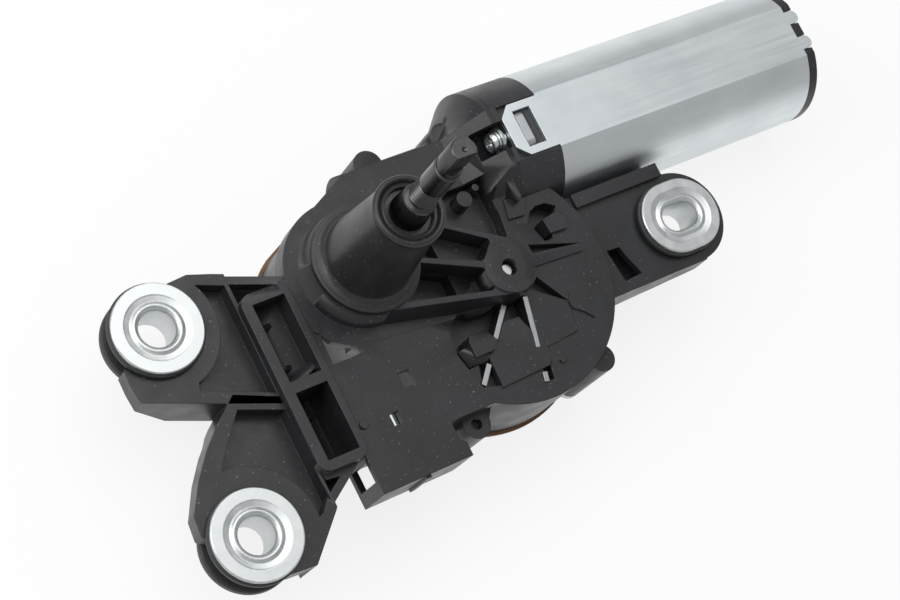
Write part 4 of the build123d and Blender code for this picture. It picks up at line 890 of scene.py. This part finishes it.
# %% Thread
THREAD_PITCH = 1.25
THREAD_START = 50.45
THREAD_TURNS = 6
THREAD_STEPS = 48        # for each turn
THREAD_MERGE = 0.001
THREAD_TURN = [(3.25, 0.0), (3.4, 0.1), (3.96, 0.52), (3.96, 0.66), (3.4, 1.08), (3.25, 1.2)]


def wound_thread():
    bpy.ops.object.select_all(action="DESELECT")
    bpy.ops.mesh.primitive_circle_add(vertices=len(THREAD_TURN), radius=MM, location=(0, 0, 0))
    line = bpy.context.object
    line.name = "shaft_thread"
    for point, (radius, height) in zip(line.data.vertices, THREAD_TURN):
        point.co = (radius * MM, 0, (THREAD_START + height) * MM)
    screw = line.modifiers.new("turns", "SCREW")
    screw.axis = "Z"
    screw.screw_offset = THREAD_PITCH * MM
    screw.iterations = THREAD_TURNS
    screw.steps = THREAD_STEPS
    screw.render_steps = THREAD_STEPS
    bpy.ops.object.modifier_apply(modifier="turns")
    bpy.ops.object.mode_set(mode="EDIT")
    close_mesh(THREAD_MERGE)
    return line


thread = wound_thread()
belongs(smooth(thread, angle=40), "output", "dark_steel")
print("thread:", len(thread.data.polygons), "faces")

# %% [markdown]
# The boot is soft rubber over the tower. Its form lives in its fillets: a long one from
# the flat foot into the cone, and a round rolled lip, inside which a thin inner lip
# points at the shaft. Small steps in the profile give both their highlight.

# %% Rubber boot
def arc(centre, radius, start, stop, steps):
    """Points of an arc as (radius, height) pairs; angles in degrees."""
    points = []
    for step in range(steps + 1):
        angle = math.radians(start + (stop - start) * step / steps)
        points.append((centre[0] + radius * math.cos(angle),
                       centre[1] + radius * math.sin(angle)))
    return points


BOOT_PROFILE = ([(9.1, 5.75), (16.0, 5.75), (16.2, 5.95), (16.2, 6.9)]
                + arc((15.85, 6.9), 0.35, 0, 90, 3)
                + [(14.9, 7.35)] + arc((15.3, 10.0), 2.6, 262, 186, 9)
                + [(12.35, 15.0), (11.5, 23.0), (10.75, 30.5), (10.25, 35.8), (9.98, 38.6)]
                + arc((9.35, 41.0), 1.05, -50, 150, 12)
                + [(8.25, 41.0), (8.0, 40.75), (7.5, 40.7), (7.3, 40.95), (7.1, 41.0),
                   (6.9, 40.8), (6.85, 40.5), (7.4, 40.35), (8.75, 40.1), (8.8, 38.75),
                   (9.1, 38.7), (9.1, 5.75)])
boot = turned("boot_look", BOOT_PROFILE)
belongs(smooth(boot, angle=50), "base", "boot_rubber", "tower_boot")
print("boot:", [round(edge / MM, 1) for edge in boot.dimensions])

# %% [markdown]
# Each mounting sleeve is a steel tube with a dished flange: a broad flat ring, a step
# down, a raised round bead and the mouth. All of it is measured from the rim of the
# flange or from the bore, so that one profile serves for both sizes of sleeve.

# %% Mounting sleeves
SLEEVE_FOOT = -12.5
BEAD_OUT, BEAD_R = 1.35, 0.75        # how far the bead's middle lies outside the bore


def sleeve_profile(flange, bore):
    return ([(bore, SLEEVE_FOOT), (bore + 1.6, SLEEVE_FOOT), (bore + 1.6, -1.4),
             (flange - 0.3, -1.4), (flange, -1.15), (flange, -0.3), (flange - 0.3, 0.0),
             (bore + 4.35, 0.0), (bore + 4.1, -0.16), (bore + 3.8, -0.18),
             (bore + 2.9, -0.5), (bore + 2.5, -0.55)]
            + arc((bore + BEAD_OUT, -BEAD_R), BEAD_R, 40, 130, 6)
            + [(bore + 0.45, -0.55), (bore + 0.12, -1.0), (bore, -1.6), (bore, SLEEVE_FOOT)])


ZINC = ((0.60, 0.63, 0.64), (0.72, 0.74, 0.735), (0.36, 0.48))


def zinc_rings(name, x, y):
    """The sleeves' zinc, with its rings centred on the sleeve of that name."""
    finishes[name] = turned_metal(name + "_rings", *ZINC, (x * MM, y * MM))


for name, y in (("sleeve_upper", UPPER_EYE_Y), ("sleeve_lower", LOWER_EYE_Y)):
    sleeve = turned(name + "_look", sleeve_profile(flange=13.0, bore=5.2), place=(SLEEVE_X, y, 0))
    zinc_rings(name, SLEEVE_X, y)
    belongs(smooth(sleeve), "base", "zinc_sleeve", name, finish=name)
print("round sleeves:", len(sleeve.data.polygons), "faces each")

# %% [markdown]
# The slotted sleeve is the same piece, smaller, with its two halves pulled apart. That
# keeps the round ends round, which stretching the whole piece wouldn't.

# %% Slotted sleeve
SLOT_X, SLOT_Y = 106.5, -20.5
SLOT_SHIFT = 2.1
NEAR_ZERO = 1e-6


def pulled_apart(piece):
    """Pull the halves of a round piece apart along X, and put it at the slot's place."""
    bpy.ops.object.mode_set(mode="EDIT")
    for side in (-1, 1):
        pick_points(piece, lambda place: place.x * side > NEAR_ZERO)
        bpy.ops.transform.translate(value=(side * SLOT_SHIFT * MM, 0, 0))
    bpy.ops.object.mode_set(mode="OBJECT")
    piece.location = (SLOT_X * MM, SLOT_Y * MM, 0)
    bpy.ops.object.transform_apply(location=True, rotation=True, scale=True)
    return piece


sleeve = pulled_apart(turned("sleeve_slotted_look", sleeve_profile(flange=11.4, bore=4.1)))
zinc_rings("sleeve_slotted", SLOT_X, SLOT_Y)
belongs(smooth(sleeve), "base", "zinc_sleeve", "sleeve_slotted", finish="sleeve_slotted")
print("slotted sleeve:", [round(edge / MM, 1) for edge in sleeve.dimensions])

# %% [markdown]
# The clamp screw lies along X at the collar: a round head with a six-lobed recess, then
# a spring washer and a flat one. It is turned upright and then laid down.

# %% Clamp screw
SCREW_PLACE = (56.2, 20.4, 1.4)
SCREW_POINTS = 96
SCREW_PROFILE = [(0.6, 1.45), (1.75, 1.4), (1.85, 0.15), (2.2, 0.0), (2.75, 0.12), (3.1, 0.5),
                 (3.15, 1.5), (2.7, 1.62), (2.7, 1.78), (3.4, 1.84), (3.45, 2.35), (3.0, 2.42),
                 (3.0, 2.62), (3.85, 2.68), (3.9, 3.55), (3.8, 3.8), (2.0, 3.8), (2.0, 16.0)]
LOBES = 6
RECESS_IN, RECESS_OUT, RECESS_FLOOR = 1.7, 1.9, 1.45
FLUTE_FROM, FLUTE_TO = 0.3, 0.7      # share of a lobe's turn that is pushed in
FLUTE_DEPTH = 0.66
screw = turned("clamp_screw_look", SCREW_PROFILE, SCREW_POINTS)
bpy.ops.object.mode_set(mode="EDIT")


def is_recess_flute(place):
    radius = math.hypot(place.x, place.y) / MM
    turn = (math.atan2(place.y, place.x) / (2 * math.pi) * LOBES) % 1
    in_wall = RECESS_IN < radius < RECESS_OUT and place.z < RECESS_FLOOR * MM
    return in_wall and FLUTE_FROM < turn < FLUTE_TO


pick_points(screw, is_recess_flute)
bpy.ops.transform.resize(value=(FLUTE_DEPTH, FLUTE_DEPTH, 1), center_override=(0, 0, 0))
bpy.ops.object.mode_set(mode="OBJECT")
screw.rotation_euler = (0, math.radians(90), 0)
screw.location = [value * MM for value in SCREW_PLACE]
bpy.ops.object.transform_apply(location=True, rotation=True, scale=True)
belongs(smooth(screw, angle=40), "base", "zinc_screw", "clamp_screw")
print("clamp screw:", [round(edge / MM, 1) for edge in screw.dimensions])

# %% [markdown]
# The grommets are soft rubber rings with rounded lips, so each lip gets its own bulge
# and the neck between them shows as a dark groove. The slotted one is pulled apart as
# its sleeve was.

# %% Rubber grommets
GROMMET_FOOT = -12.1
BACK_LIP_R, FRONT_LIP_R = 0.7, 0.6


def grommet_profile(lip, neck, bore):
    back, front = lip - BACK_LIP_R, lip - FRONT_LIP_R
    return ([(bore, GROMMET_FOOT), (back, GROMMET_FOOT)]
            + arc((back, -11.4), BACK_LIP_R, -90, 0, 4)
            + [(lip, -9.8)] + arc((back, -9.75), BACK_LIP_R, 0, 90, 4)
            + [(neck + 0.4, -9.05), (neck, -8.7), (neck, -3.8), (neck + 0.4, -3.45)]
            + arc((front, -2.85), FRONT_LIP_R, -90, 0, 4)
            + arc((front, -2.05), FRONT_LIP_R, 0, 90, 4)
            + [(bore, -1.45), (bore, GROMMET_FOOT)])


ROUND_GROMMET = grommet_profile(lip=13.6, neck=9.4, bore=6.85)
SLOTTED_GROMMET = grommet_profile(lip=12.0, neck=8.1, bore=5.75)
for name, y in (("grommet_upper", UPPER_EYE_Y), ("grommet_lower", LOWER_EYE_Y)):
    ring = turned(name + "_look", ROUND_GROMMET, place=(SLEEVE_X, y, 0))
    belongs(smooth(ring, angle=40), "base", "grommet_rubber", name)
ring = pulled_apart(turned("grommet_slotted_look", SLOTTED_GROMMET))
belongs(smooth(ring, angle=40), "base", "grommet_rubber", "grommet_slotted")
print("slotted grommet:", [round(edge / MM, 1) for edge in ring.dimensions])
